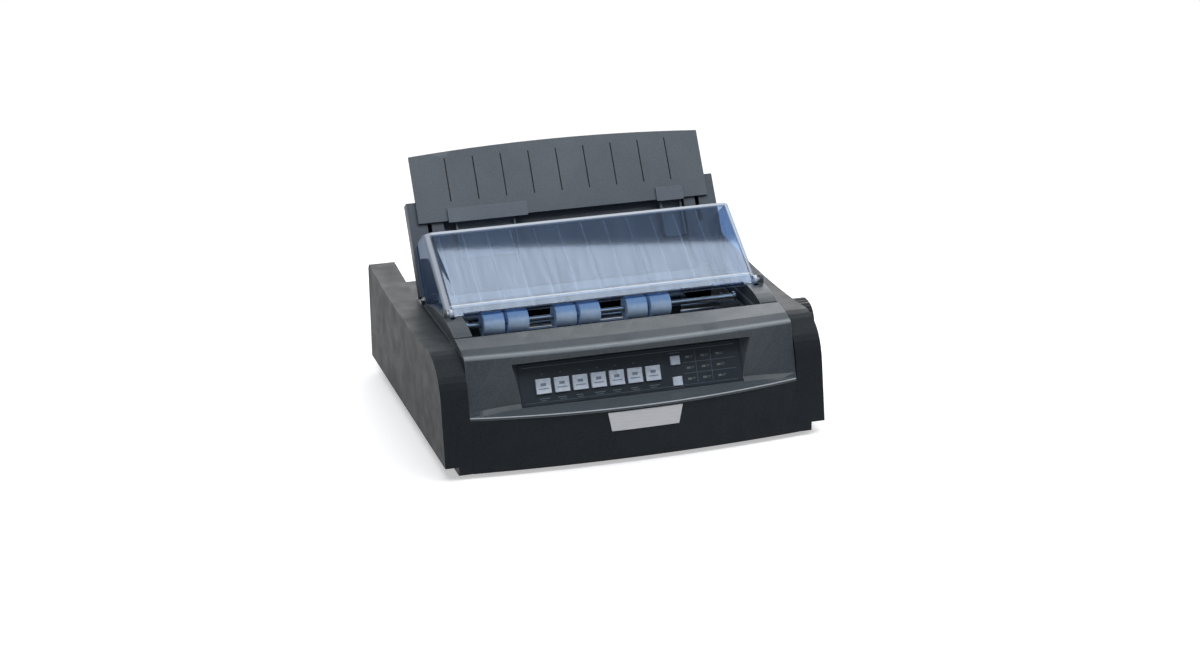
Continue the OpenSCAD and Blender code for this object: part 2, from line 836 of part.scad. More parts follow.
module left_sheet_guide() { sheet_guide(-120, -55, -128, -42); }
module right_sheet_guide() { sheet_guide(106, 130, 102, 132); }

// ---------- frames and platen ----------

frame_x = 148;
frame_t = 2;
frame_back = 216;
tractor_y = platen_y + gear_module * (platen_teeth / 2 + front_idler_teeth + rear_idler_teeth
    + tractor_teeth / 2);
tractor_bar_y = tractor_y + 17;
tractor_bar_z = platen_z - 14;
tractor_bar_r = 3;
bail_pivot_y = 172;
bail_pivot_z = 100;
bail_pin_r = 2.5;
bush_r = 7;
bush_flange_r = 9;
touch = 0.3;
touch_dir = unit([20, 26]);
bail_y = platen_y + touch_dir[0] * (platen_r + bail_r + touch);
bail_z = platen_z + touch_dir[1] * (platen_r + bail_r + touch);
frame_outline = [[guide_y - 12, chassis_z + chassis_t], [guide_y - 12, guide_z + 12],
    [platen_y - 26, platen_z + 20], [bail_pivot_y + 8, bail_pivot_z + 8],
    [frame_back, platen_z + 14], [frame_back, chassis_z + chassis_t]];

// Pressed steel side frame, drawn for the right side.
module side_frame(extra_holes) {
    difference() {
        union() {
            slab(frame_x, frame_x + frame_t)
                polygon(frame_outline);
            block([frame_x - 8, rail_y + 6, chassis_z + chassis_t],
                [frame_x, frame_back - 6, chassis_z + chassis_t + frame_t]);
            bar(frame_x - 6.4, frame_x, bail_pivot_y, bail_pivot_z, bail_pin_r);
            children();
        }
        bar(frame_x - 1, frame_x + frame_t + 1, platen_y, platen_z, bush_r + run_gap);
        bar(frame_x - 1, frame_x + frame_t + 1, guide_y, guide_z, guide_r + run_gap);
        bar(frame_x - 1, frame_x + frame_t + 1, tractor_y, platen_z, shaft_r + run_gap);
        bar(frame_x - 1, frame_x + frame_t + 1, tractor_bar_y, tractor_bar_z,
            tractor_bar_r + run_gap);
        for (q = extra_holes)
            bar(frame_x - 1, frame_x + frame_t + 1, q[0], q[1], q[2]);
    }
}

front_idler_y = platen_y + gear_module * (platen_teeth + front_idler_teeth) / 2;
rear_idler_y = front_idler_y + gear_module * (front_idler_teeth + rear_idler_teeth) / 2;
pinion_z = platen_z - gear_module * (front_idler_teeth + pinion_teeth) / 2;
pinion_shaft_r = 2;
idler_pin_r = 2.5;
gear_x = frame_x + frame_t + 6;

module left_frame() {
    color("#a9abac") placed() mirror([1, 0, 0])
        side_frame([[front_idler_y, pinion_z, pinion_shaft_r + 1]]) {
            bar(frame_x + frame_t - 0.01, gear_x + gear_w + 1, front_idler_y, platen_z, idler_pin_r);
            bar(frame_x + frame_t - 0.01, gear_x + gear_w + 1, rear_idler_y, platen_z, idler_pin_r);
        }
}

module right_frame() {
    color("#a9abac") placed()
        side_frame([]);
}

rail_y = guide_y + 20;
belt_z = 38;
belt_w = 6;
pulley_x = 128;
post_r = 3;

// Cross plate under the frames with the upturned rail of the carriage.
module base_plate() {
    color("#9fa2a4") placed() {
        block([-frame_x + 2, guide_y - 14, chassis_z], [frame_x - 2, frame_back - 4,
            chassis_z + chassis_t]);
        block([-frame_x + 10, rail_y, chassis_z], [frame_x - 10, rail_y + 2, guide_z - 16]);
        translate([pulley_x, guide_y, chassis_z])
            cylinder(h = belt_z + belt_w + 3 - chassis_z, r = post_r);
        translate([pulley_x, guide_y, chassis_z])
            cylinder(h = belt_z - 1.3 - chassis_z, r = post_r + 2);
    }
}

module platen_roller() {
    color("#232425") placed()
        difference() {
            bar(platen_left, platen_right, platen_y, platen_z, platen_r);
            bar(platen_left - 1, platen_right + 1, platen_y, platen_z, shaft_r + run_gap);
        }
}

module platen_shaft() {
    color("#b9bcbe") placed()
        bar(-gear_x - gear_w - 2, knob_x + knob_l - 4, platen_y, platen_z, shaft_r);
}

flute_count = 30;
flute_d = 0.9;

// Fluted hand knob outside the right cheek.
module platen_knob() {
    color("#2b2d30") placed() translate([knob_x, platen_y, platen_z]) rotate([0, 90, 0])
        difference() {
            union() {
                linear_extrude(knob_l - 2)
                    polygon([for (i = [0 : 2 * flute_count - 1])
                        let (a = i * 180 / flute_count, r = knob_r - (i % 2) * flute_d)
                        r * [cos(a), sin(a)]]);
                cylinder(h = knob_l, r = knob_r - 3);
            }
            translate([0, 0, -1])
                cylinder(h = knob_l - 3 + run_gap, r = shaft_r + run_gap);
            translate([0, 0, knob_l - 1.5])
                cylinder(h = 2, r = knob_r - 6);
        }
}

module platen_bushes() {
    color("#c9b27a") placed() both_sides()
        difference() {
            union() {
                bar(frame_x - 2, frame_x, platen_y, platen_z, bush_flange_r);
                bar(frame_x - 2, frame_x + frame_t, platen_y, platen_z, bush_r);
            }
            bar(frame_x - 3, frame_x + frame_t + 1, platen_y, platen_z, shaft_r + run_gap);
        }
}

// ---------- gears ----------

addendum = 0.6;
dedendum = 0.8;

// Spur gear about the x axis; phase is the angle of one tooth from the rear direction.
module spur(teeth, phase, y, z, bore) {
    pitch_r = gear_module * teeth / 2;
    step = 360 / teeth;
    shape = [for (i = [0 : teeth - 1])
        for (q = [[-0.24, -dedendum], [-0.11, addendum], [0.11, addendum], [0.24, -dedendum]])
            let (a = phase + (i + q[0]) * step, r = pitch_r + q[1] * gear_module)
            [r * cos(a), r * sin(a)]];
    translate([0, y, z])
        slab(-gear_x - gear_w, -gear_x)
            difference() {
                polygon(shape);
                circle(r = bore + run_gap);
            }
}

function positive_mod(a, b) = a - b * floor(a / b);
// Phase of gear b that meshes with gear a in the direction dir.
function mesh_phase(teeth_a, phase_a, dir, teeth_b) =
    dir + 180 + positive_mod(dir - phase_a, 360 / teeth_a) * teeth_a / teeth_b + 180 / teeth_b;
front_phase = mesh_phase(platen_teeth, 0, 0, front_idler_teeth);
rear_phase = mesh_phase(front_idler_teeth, front_phase, 0, rear_idler_teeth);
tractor_phase = mesh_phase(rear_idler_teeth, rear_phase, 0, tractor_teeth);
pinion_phase = mesh_phase(front_idler_teeth, front_phase, 270, pinion_teeth);

module platen_gear() {
    color("#e4e2da") placed()
        spur(platen_teeth, 0, platen_y, platen_z, shaft_r);
}

module front_idler() {
    color("#e4e2da") placed()
        spur(front_idler_teeth, front_phase, front_idler_y, platen_z, idler_pin_r);
}

module rear_idler() {
    color("#e4e2da") placed()
        spur(rear_idler_teeth, rear_phase, rear_idler_y, platen_z, idler_pin_r);
}

module tractor_gear() {
    color("#e4e2da") placed()
        spur(tractor_teeth, tractor_phase, tractor_y, platen_z, shaft_r);
}

motor_r = 15;
motor_l = 24;

module motor_pinion() {
    color("#c8ab5a") placed() {
        spur(pinion_teeth, pinion_phase, front_idler_y, pinion_z, pinion_shaft_r - run_gap);
        bar(-gear_x - gear_w, -frame_x + 8, front_idler_y, pinion_z, pinion_shaft_r);
    }
}

module feed_motor() {
    color("#55585b") placed()
        difference() {
            union() {
                bar(-frame_x + 2, -frame_x + motor_l, front_idler_y, pinion_z, motor_r);
                block([-frame_x, front_idler_y - motor_r, pinion_z - 9],
                    [-frame_x + 2, front_idler_y + motor_r, pinion_z + 9]);
            }
            bar(-frame_x - 1, -frame_x + 9, front_idler_y, pinion_z, pinion_shaft_r + run_gap);
        }
}

// ---------- paper bail ----------

bail_arm_t = 3;
bail_arm_x = frame_x - 3 - bail_arm_t;
roller_group_x = -28.5;
roller_group_pitch = 76;
roller_half_pitch = 12.85;

module bail() {
    swing = [bail_y - bail_pivot_y, bail_z - bail_pivot_z];
    side = 3.5 * turned(unit(swing));
    color("#b4b7b9") placed() {
        bar(-bail_arm_x, bail_arm_x, bail_y, bail_z, bail_shaft_r);
        both_sides()
            translate([0, bail_pivot_y, bail_pivot_z])
                slab(bail_arm_x, bail_arm_x + bail_arm_t)
                    difference() {
                        union() {
                            polygon([side, swing + side, swing - side, -side]);
                            circle(r = 5);
                            translate(swing)
                                circle(r = 5);
                        }
                        circle(r = bail_pin_r + run_gap);
                    }
    }
}

module bail_rollers() {
    color("#8fa3bd") placed()
        for (group = [-1 : 1])
            for (s = [-1, 1]) {
                x = roller_group_x + group * roller_group_pitch + s * roller_half_pitch;
                difference() {
                    bar(x - bail_w / 2, x + bail_w / 2, bail_y, bail_z, bail_r);
                    bar(x - bail_w, x + bail_w, bail_y, bail_z, bail_shaft_r + run_gap);
                }
            }
}

// ---------- print carriage ----------

carriage_half = 24;
carriage_top = platen_z - 17.5;
ribbon_z = 106;
ribbon_h = 9;
nose_gap = 1;
nose_y = platen_y - platen_r - nose_gap;
head_r = 17;

// Carriage shaft and the fixed rod behind the tractor shaft.
module guide_rods() {
    color("#c3c6c8") placed() {
        bar(-frame_x - frame_t, frame_x + frame_t, guide_y, guide_z, guide_r);
        bar(-frame_x - frame_t, frame_x + frame_t, tractor_bar_y, tractor_bar_z, tractor_bar_r);
    }
}

// Slides on the round shaft, straddles the rear rail and grips the belt.
module carriage() {
    slot = 0.3;
    belt_front = guide_y - pulley_r - 0.3 - 1.5;
    color("#34373a") placed() translate([carriage_x, 0, 0])
        difference() {
            union() {
                block([-carriage_half, guide_y - 12, 48], [carriage_half, guide_y + 16, carriage_top]);
                block([-12, guide_y + 14, 40], [12, rail_y + 6, 52]);
                for (s = [-1, 1])
                    translate([s * (carriage_half - 2) - 2, guide_y - 10, carriage_top - 1])
                        cube([4, 24, ribbon_z - carriage_top + 1]);
                block([-8, belt_front - 4, belt_z - 1], [8, belt_front - slot, 49]);
                block([-8, belt_front - 4, 47], [8, guide_y - 6, 49]);
            }
            bar(-50, 50, guide_y, guide_z, guide_r + run_gap);
            block([-13, rail_y - slot, 38], [13, rail_y + 2 + slot, guide_z - 15.5]);
        }
}

// Finned body with a tapering nose that ends just ahead of the platen.
module print_head() {
    color("#3f4246") placed() translate([carriage_x, guide_y - 12, platen_z])
        rotate([-90, 0, 0]) {
            cylinder(h = 20, r = head_r - 4);
            for (i = [0 : 4])
                translate([0, 0, i * 4.4])
                    cylinder(h = 2.2, r = head_r);
            translate([0, 0, 19])
                cylinder(h = 9, r1 = 13, r2 = 7);
            translate([-4, -6, 26])
                cube([8, 12, nose_y - guide_y + 12 - 26]);
            translate([-12, 8, 0])
                cube([24, platen_z - carriage_top - 8, 20]);
        }
}

module ribbon_cartridge() {
    color("#202123") placed() translate([carriage_x, 0, ribbon_z]) {
        difference() {
            union() {
                block([-30, guide_y - 14, 0], [30, guide_y + 14, ribbon_h]);
                for (s = [-1, 1])
                    translate([s * 30, guide_y, 0])
                        translate([-s * 8 - 8, 8, 0])
                            cube([16, 22, ribbon_h]);
            }
            translate([0, guide_y + 14, -1])
                cylinder(h = ribbon_h + 2, r = 12);
        }
        for (s = [-1, 1])
            translate([s * 14, guide_y - 4, ribbon_h - 0.01])
                cylinder(h = 1.2, r = 5);
    }
}

belt_t = 1.5;

module belt_loop(r) {
    translate([-pulley_x, -r])
        square([2 * pulley_x, 2 * r]);
    for (s = [-1, 1])
        translate([s * pulley_x, 0])
            circle(r = r);
}

module carriage_belt() {
    color("#2a2a2b") placed() translate([0, guide_y, belt_z])
        linear_extrude(belt_w)
            difference() {
                belt_loop(pulley_r + 0.3 + belt_t);
                belt_loop(pulley_r + 0.3);
            }
}

motor_shaft_r = 2.5;
space_motor_r = 18;
space_motor_top = belt_z - 2;

module pulley() {
    translate([0, 0, belt_z - 1.2])
        cylinder(h = 1, r = pulley_r + 1.5);
    translate([0, 0, belt_z - 0.3])
        cylinder(h = belt_w + 0.6, r = pulley_r);
    translate([0, 0, belt_z + belt_w + 0.2])
        cylinder(h = 1, r = pulley_r + 1.5);
}

module drive_pulley() {
    color("#d8d6cc") placed() translate([-pulley_x, guide_y, 0]) {
        pulley();
        translate([0, 0, space_motor_top - 8])
            cylinder(h = belt_z - space_motor_top + 8, r = motor_shaft_r);
    }
}

module idler_pulley() {
    color("#d8d6cc") placed() translate([pulley_x, guide_y, 0])
        difference() {
            pulley();
            cylinder(h = 60, r = post_r + run_gap);
        }
}

module space_motor() {
    color("#55585b") placed() translate([-pulley_x, guide_y, 0])
        difference() {
            translate([0, 0, chassis_z + chassis_t])
                cylinder(h = space_motor_top - chassis_z - chassis_t, r = space_motor_r);
            translate([0, 0, space_motor_top - 9])
                cylinder(h = 10, r = motor_shaft_r + run_gap);
        }
}

// ---------- tractors ----------

tractor_half = 7;
left_tractor_x = -121;
right_tractor_x = 93;
tractor_top = platen_z + 14;
door_pin_r = 1.5;
door_pin_x = -tractor_half - 3;
door_y0 = tractor_y - 18;
door_y1 = tractor_y + 18;
door_z = tractor_top + 1;
knuckle = 4;

module tractor_shaft() {
    color("#b9bcbe") placed()
        bar(-gear_x - gear_w - 2, frame_x + frame_t + 1, tractor_y, platen_z, shaft_r);
}

// Sliding block of a tractor; the door pin is on its outer side.
module tractor_body() {
    difference() {
        union() {
            slab(-tractor_half, tractor_half)
                polygon([[door_y0, tractor_top], [door_y1, tractor_top],
                    [tractor_bar_y + 7, tractor_bar_z], [tractor_bar_y, tractor_bar_z - 7],
                    [tractor_y - 8, platen_z - 10], [tractor_y - 14, platen_z]]);
            for (y = [door_y0, door_y1 - knuckle])
                translate([door_pin_x - 3, y, tractor_top - 6])
                    cube([6, knuckle, 7]);
            translate([door_pin_x, door_y0, door_z])
                rotate([-90, 0, 0])
                    cylinder(h = door_y1 - door_y0, r = door_pin_r);
            for (y = [door_y0, door_y1 - knuckle])
                translate([door_pin_x, y, door_z])
                    rotate([-90, 0, 0])
                        cylinder(h = knuckle, r = 3);
        }
        bar(-20, 20, tractor_y, platen_z, shaft_r + run_gap);
        bar(-20, 20, tractor_bar_y, tractor_bar_z, tractor_bar_r + run_gap);
        block([-tractor_half - 1, tractor_y - 12, tractor_top - 3],
            [-tractor_half + 3, tractor_y + 12, tractor_top + 1]);
    }
}

// Hinged paper door over the sprocket pins.
module tractor_door() {
    difference() {
        union() {
            translate([door_pin_x, door_y0 + knuckle + 0.3, door_z])
                rotate([-90, 0, 0])
                    cylinder(h = door_y1 - door_y0 - 2 * knuckle - 0.6, r = 2.8);
            block([door_pin_x, door_y0 + knuckle + 0.3, door_z + 0.8],
                [tractor_half + 7, door_y1 - knuckle - 0.3, door_z + 2.8]);
        }
        translate([door_pin_x, door_y0 - 1, door_z])
            rotate([-90, 0, 0])
                cylinder(h = 60, r = door_pin_r + run_gap);
        block([tractor_half - 0.5, tractor_y - 9, door_z - 1],
            [tractor_half + 4.5, tractor_y + 9, door_z + 4]);
    }
}

sprocket_r = 11.9;
sprocket_pins = 6;

module sprocket() {
    difference() {
        union() {
            bar(tractor_half + 0.3, tractor_half + 4.3, tractor_y, platen_z, sprocket_r);
            for (i = [0 : sprocket_pins - 1])
                translate([tractor_half + 2.3, tractor_y, platen_z])
                    rotate([i * 360 / sprocket_pins, 0, 0])
                        cylinder(h = 13.4, r = 1.6);
        }
        bar(tractor_half - 1, tractor_half + 6, tractor_y, platen_z, shaft_r + run_gap);
    }
}

module left_tractor() {
    color("#3d4044") placed() translate([left_tractor_x, 0, 0])
        tractor_body();
}

module right_tractor() {
    color("#3d4044") placed() translate([right_tractor_x, 0, 0]) mirror([1, 0, 0])
        tractor_body();
}

module left_sprocket() {
    color("#d9d7cf") placed() translate([left_tractor_x, 0, 0])
        sprocket();
}

module right_sprocket() {
    color("#d9d7cf") placed() translate([right_tractor_x, 0, 0]) mirror([1, 0, 0])
        sprocket();
}

module left_door() {
    color("#5a5e63") placed() translate([left_tractor_x, 0, 0])
        tractor_door();
}

module right_door() {
    color("#5a5e63") placed() translate([right_tractor_x, 0, 0]) mirror([1, 0, 0])
        tractor_door();
}

// ---------- levers ----------

lever_y = 232;
lever_z = 70;
lever_pin_r = 3;
lever_x = -165;
lever_t = 3.5;
lever_reach = 40;

// Flat lever with a round eye, drawn as one side view.
module arm(x0, x1, y, z, reach, tilt, w, ring_r, bore) {
    slab(x0, x1)
        translate([y, z])
            difference() {
                union() {
                    circle(r = ring_r);
                    rotate(tilt)
                        translate([-w / 2, 0])
                            square([w, reach]);
                }
                circle(r = bore);
            }
}

module paper_lever() {
    color("#7b828a") placed()
        arm(lever_x, lever_x + lever_t, lever_y, lever_z, lever_reach, -11, 7, 7,
            lever_pin_r + run_gap);
}

gap_lever_x = 138;

module gap_lever() {
    color("#4a7a9c") placed()
        arm(gap_lever_x, gap_lever_x + 3, guide_y, guide_z, 57, -18, 7, 9, guide_r + run_gap);
}

// ---------- electrics ----------

board_x0 = -150;
board_x1 = 48;
board_y0 = 226;
board_y1 = 336;
board_z = port_z - port_h / 2;
board_t = 1.6;

module main_board() {
    color("#2f6b45") placed() {
        block([board_x0, board_y0, board_z - board_t], [board_x1, board_y1, board_z]);
        for (x = [board_x0 + 6, board_x1 - 6])
            for (y = [board_y0 + 6, board_y1 - 48])
                translate([x, y, floor_z])
                    cylinder(h = board_z - board_t - floor_z, r = 3);
        for (i = [0 : 3])
            translate([board_x0 + 20 + i * 34, board_y0 + 40, board_z - 0.01])
                cube([22, 14, 4]);
        for (i = [0 : 2])
            translate([board_x0 + 30 + i * 26, board_y0 + 14, board_z - 0.01])
                cylinder(h = 18, r = 6);
    }
}

supply_back = case_d - 53;

module power_supply() {
    color("#8b8d8e") placed() {
        block([64, 232, floor_z], [158, supply_back, floor_z + 2]);
        block([64, 232, floor_z], [66, supply_back, floor_z + 30]);
        block([156, 232, floor_z], [158, supply_back, floor_z + 30]);
        block([84, 242, floor_z + 1.99], [134, supply_back - 4, floor_z + 50]);
        block([78, 248, floor_z + 10], [140, supply_back - 10, floor_z + 42]);
    }
}

rocker_x = 80;
rocker_half = 9.5;
rocker_y = case_d - 4.5;
rocker_tilt = 7;

// Mains inlet and the rocker switch bay in one housing.
module ac_inlet() {
    x0 = inlet_x - inlet_w / 2;
    x1 = inlet_x + inlet_w / 2;
    color("#1d1e20") placed() {
        difference() {
            block([x0, case_d - 24, inlet_z - inlet_h / 2], [x1, case_d, inlet_z + inlet_h / 2]);
            translate([0, case_d - 18, inlet_z])
                rotate([-90, 0, 0])
                    linear_extrude(20)
                        polygon([[104, -8], [128, -8], [128, 4], [124, 8], [108, 8], [104, 4]]);
            block([rocker_x - rocker_half - 0.4, case_d - 14, inlet_z - 7.2],
                [rocker_x + rocker_half + 0.4, case_d + 1, inlet_z + 7.2]);
            bar(rocker_x - rocker_half - 2.2, rocker_x + rocker_half + 2.2, rocker_y, inlet_z,
                1.5 + run_gap);
        }
        for (q = [[111, 2], [116, -3], [121, 2]])
            block([q[0] - 1, case_d - 18.01, inlet_z - q[1] - 2],
                [q[0] + 1, case_d - 4, inlet_z - q[1] + 2]);
    }
}

module power_switch() {
    color("#121314") placed() {
        translate([0, rocker_y, inlet_z])
            rotate([rocker_tilt, 0, 0])
                slab(rocker_x - rocker_half, rocker_x + rocker_half)
                    polygon([[-5, -5], [-5, 5], [2.6, 6], [1.4, 0], [2.6, -6]]);
        bar(rocker_x - rocker_half - 2, rocker_x + rocker_half + 2, rocker_y, inlet_z, 1.5);
    }
}

module data_connector() {
    low = port_z - port_h / 2;
    color("#c4c6c8") placed() {
        difference() {
            block([port_x - port_w / 2, case_d - 20, low], [port_x + port_w / 2, case_d,
                low + port_h]);
            translate([port_x, case_d - 8, port_z])
                rotate([-90, 0, 0])
                    linear_extrude(10)
                        polygon([[-27, -4.5], [27, -4.5], [25, 5.5], [-25, 5.5]]);
        }
        block([port_x - 22, case_d - 8.01, port_z - 1.6], [port_x + 22, case_d - 1.5,
            port_z + 1.6]);
    }
}

lower_case();
upper_case();
front_cover();
side_rails();
control_panel();
lamp_lenses();
name_plate();
rubber_feet();
case_screws();
key_1();
key_2();
key_3();
key_4();
key_5();
key_6();
key_7();
mode_key();
pitch_key();
access_cover();
paper_separator();
sheet_support();
left_sheet_guide();
right_sheet_guide();
left_frame();
right_frame();
base_plate();
platen_roller();
platen_shaft();
platen_knob();
platen_gear();
platen_bushes();
bail();
bail_rollers();
guide_rods();
carriage();
print_head();
ribbon_cartridge();
carriage_belt();
drive_pulley();
idler_pulley();
space_motor();
feed_motor();
motor_pinion();
front_idler();
rear_idler();
tractor_gear();
tractor_shaft();
left_tractor();
right_tractor();
left_sprocket();
right_sprocket();
left_door();
right_door();
paper_lever();
gap_lever();
main_board();
power_supply();
ac_inlet();
power_switch();
data_connector();
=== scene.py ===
import math
import bpy
from mathutils import Matrix, Vector


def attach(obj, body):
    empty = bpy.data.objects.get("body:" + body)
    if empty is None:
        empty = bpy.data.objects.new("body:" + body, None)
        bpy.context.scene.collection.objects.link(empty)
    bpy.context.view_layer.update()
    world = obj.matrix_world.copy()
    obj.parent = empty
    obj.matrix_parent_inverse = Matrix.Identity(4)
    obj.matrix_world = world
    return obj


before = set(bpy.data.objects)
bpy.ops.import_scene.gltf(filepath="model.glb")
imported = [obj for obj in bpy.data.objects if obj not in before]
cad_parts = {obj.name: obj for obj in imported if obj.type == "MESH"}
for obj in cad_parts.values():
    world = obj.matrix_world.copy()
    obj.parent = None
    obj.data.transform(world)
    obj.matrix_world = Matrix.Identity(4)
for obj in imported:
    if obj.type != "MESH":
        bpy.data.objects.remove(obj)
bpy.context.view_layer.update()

# Camera and studio. The camera looks down on the left front corner through a long lens.
# A wide soft box hangs over the printer and its back edge is mirrored in the clear cover.
# Two smaller ones and a pale surround fill the shadows.
scene = bpy.context.scene
scene.view_settings.view_transform = "Standard"
camera_data = bpy.data.cameras.new("camera")
camera_data.sensor_fit = "HORIZONTAL"
camera_data.sensor_width = 36
camera_data.lens = 77.26
camera_data.clip_end = 50
camera = bpy.data.objects.new("camera", camera_data)
camera.matrix_world = Matrix((
    (0.95551, 0.11193, -0.27291, -0.7371),
    (-0.29478, 0.32926, -0.89705, -2.4207),
    (-0.01055, 0.93758, 0.3476, 1.0110),
    (0, 0, 0, 1)))
scene.collection.objects.link(camera)
scene.camera = camera


def soft_box(name, place, aim, width, depth, power, turn=0.0):
    light = bpy.data.lights.new(name, "AREA")
    light.shape = "RECTANGLE"
    light.size = width
    light.size_y = depth
    light.energy = power
    lamp = bpy.data.objects.new(name, light)
    way = Vector(aim) - Vector(place)
    lamp.matrix_world = (Matrix.Translation(place)
                         @ way.to_track_quat("-Z", "Y").to_matrix().to_4x4()
                         @ Matrix.Rotation(turn, 4, "Z"))
    scene.collection.objects.link(lamp)


soft_box("soft_box_top", place=(0.25, -0.448, 1.5), aim=(0.25, -0.4479, 0.0),
         width=2.3, depth=1.2, power=22, turn=math.radians(-4.3))
soft_box("soft_box_front", place=(-1.6, -2.4, 1.3), aim=(0, 0, 0.1),
         width=1.4, depth=1.0, power=2.5)
soft_box("soft_box_back", place=(0.5, 1.9, 1.0), aim=(0, 0, 0.12),
         width=2.4, depth=0.8, power=36)

world = bpy.data.worlds.new("surround")
scene.world = world
world.use_nodes = True
surround = world.node_tree
surround.nodes.clear()
surround_out = surround.nodes.new("ShaderNodeOutputWorld")
surround_mix = surround.nodes.new("ShaderNodeMixShader")
surround_path = surround.nodes.new("ShaderNodeLightPath")
surround_fill = surround.nodes.new("ShaderNodeBackground")
surround_fill.inputs["Color"].default_value = (0.86, 0.92, 1.0, 1)
surround_fill.inputs["Strength"].default_value = 0.2
surround_white = surround.nodes.new("ShaderNodeBackground")
surround_white.inputs["Color"].default_value = (1, 1, 1, 1)
surround_white.inputs["Strength"].default_value = 1.0
surround.links.new(surround_path.outputs["Is Camera Ray"], surround_mix.inputs[0])
surround.links.new(surround_fill.outputs[0], surround_mix.inputs[1])
surround.links.new(surround_white.outputs[0], surround_mix.inputs[2])
surround.links.new(surround_mix.outputs[0], surround_out.inputs[0])


# Floor: a pale sheet that glows a little where it is seen or mirrored, so that it keeps
# the printer's shadow near the case and turns white further out.
def mesh_piece(name, verts, faces):
    mesh = bpy.data.meshes.new(name)
    mesh.from_pydata(verts, [], faces)
    mesh.validate()
    piece = bpy.data.objects.new(name, mesh)
    scene.collection.objects.link(piece)
    return piece


class Shade:
    """A material with short calls for its nodes."""

    def __init__(self, name):
        self.material = bpy.data.materials.new(name)
        self.material.use_nodes = True
        self.tree = self.material.node_tree
        self.surface = self.tree.nodes["Principled BSDF"]
        self.output = self.tree.nodes["Material Output"]
        self.where = self.add("ShaderNodeTexCoord").outputs["Object"]

    def add(self, kind, **facts):
        node = self.tree.nodes.new(kind)
        for key, value in facts.items():
            setattr(node, key, value)
        return node

    def link(self, a, b):
        self.tree.links.new(a, b)

    def stretch(self, scale):
        node = self.add("ShaderNodeMapping")
        node.inputs["Scale"].default_value = scale
        self.link(self.where, node.inputs["Vector"])
        return node.outputs["Vector"]

    def noise(self, scale, detail=3.0, rough=0.5, where=None):
        node = self.add("ShaderNodeTexNoise")
        node.inputs["Scale"].default_value = scale
        node.inputs["Detail"].default_value = detail
        node.inputs["Roughness"].default_value = rough
        self.link(where or self.where, node.inputs["Vector"])
        return node.outputs["Fac"]

    def cells(self, scale):
        node = self.add("ShaderNodeTexVoronoi")
        node.inputs["Scale"].default_value = scale
        self.link(self.where, node.inputs["Vector"])
        return node.outputs["Distance"]

    def ramp(self, value, stops):
        node = self.add("ShaderNodeValToRGB")
        while len(node.color_ramp.elements) < len(stops):
            node.color_ramp.elements.new(0.5)
        for mark, (at, colour) in zip(node.color_ramp.elements, stops):
            mark.position = at
            mark.color = (*colour, 1)
        self.link(value, node.inputs[0])
        return node.outputs[0]

    def span(self, value, low, high, to_low, to_high):
        node = self.add("ShaderNodeMapRange")
        ends = {"From Min": low, "From Max": high, "To Min": to_low, "To Max": to_high}
        for key, number in ends.items():
            node.inputs[key].default_value = number
        self.link(value, node.inputs["Value"])
        return node.outputs["Result"]

    def math(self, work, a, b=0.0):
        node = self.add("ShaderNodeMath", operation=work)
        for socket, value in zip(node.inputs, (a, b)):
            if isinstance(value, (int, float)):
                socket.default_value = value
            else:
                self.link(value, socket)
        return node.outputs[0]

    def mix(self, amount, a, b):
        node = self.add("ShaderNodeMix", data_type="RGBA")
        first, second = node.inputs[6], node.inputs[7]
        for socket, value in ((node.inputs["Factor"], amount), (first, a), (second, b)):
            if isinstance(value, tuple):
                socket.default_value = (*value, 1)
            elif isinstance(value, float):
                socket.default_value = value
            else:
                self.link(value, socket)
        return node.outputs[2]

    def edges(self, radius):
        """1 along sharp edges and 0 on flat faces."""
        bevel = self.add("ShaderNodeBevel", samples=4)
        bevel.inputs["Radius"].default_value = radius
        plain = self.add("ShaderNodeNewGeometry").outputs["Normal"]
        dot = self.add("ShaderNodeVectorMath", operation="DOT_PRODUCT")
        self.link(bevel.outputs[0], dot.inputs[0])
        self.link(plain, dot.inputs[1])
        sharp, flat = 0.8, 0.995
        return self.span(dot.outputs["Value"], sharp, flat, 1.0, 0.0)

    def bump(self, height, strength, distance):
        node = self.add("ShaderNodeBump")
        node.inputs["Strength"].default_value = strength
        node.inputs["Distance"].default_value = distance
        self.link(height, node.inputs["Height"])
        self.link(node.outputs[0], self.surface.inputs["Normal"])

    def along(self, start, way):
        """Distance from a point in one direction, in metres."""
        away = self.add("ShaderNodeVectorMath", operation="SUBTRACT")
        away.inputs[1].default_value = start
        self.link(self.where, away.inputs[0])
        dot = self.add("ShaderNodeVectorMath", operation="DOT_PRODUCT")
        dot.inputs[1].default_value = way
        self.link(away.outputs[0], dot.inputs[0])
        return dot.outputs["Value"]

    def above(self, value, limit, soft):
        """0 under a limit and 1 over it, with a soft step."""
        return self.span(value, limit - soft, limit + soft, 0.0, 1.0)

    def colour(self, socket):
        self.link(socket, self.surface.inputs["Base Color"])

    def roughness(self, socket):
        self.link(socket, self.surface.inputs["Roughness"])


def tone(text):
    """A colour written as #rrggbb, as linear light."""
    return tuple((int(text[i:i + 2], 16) / 255) ** 2.2 for i in (1, 3, 5))


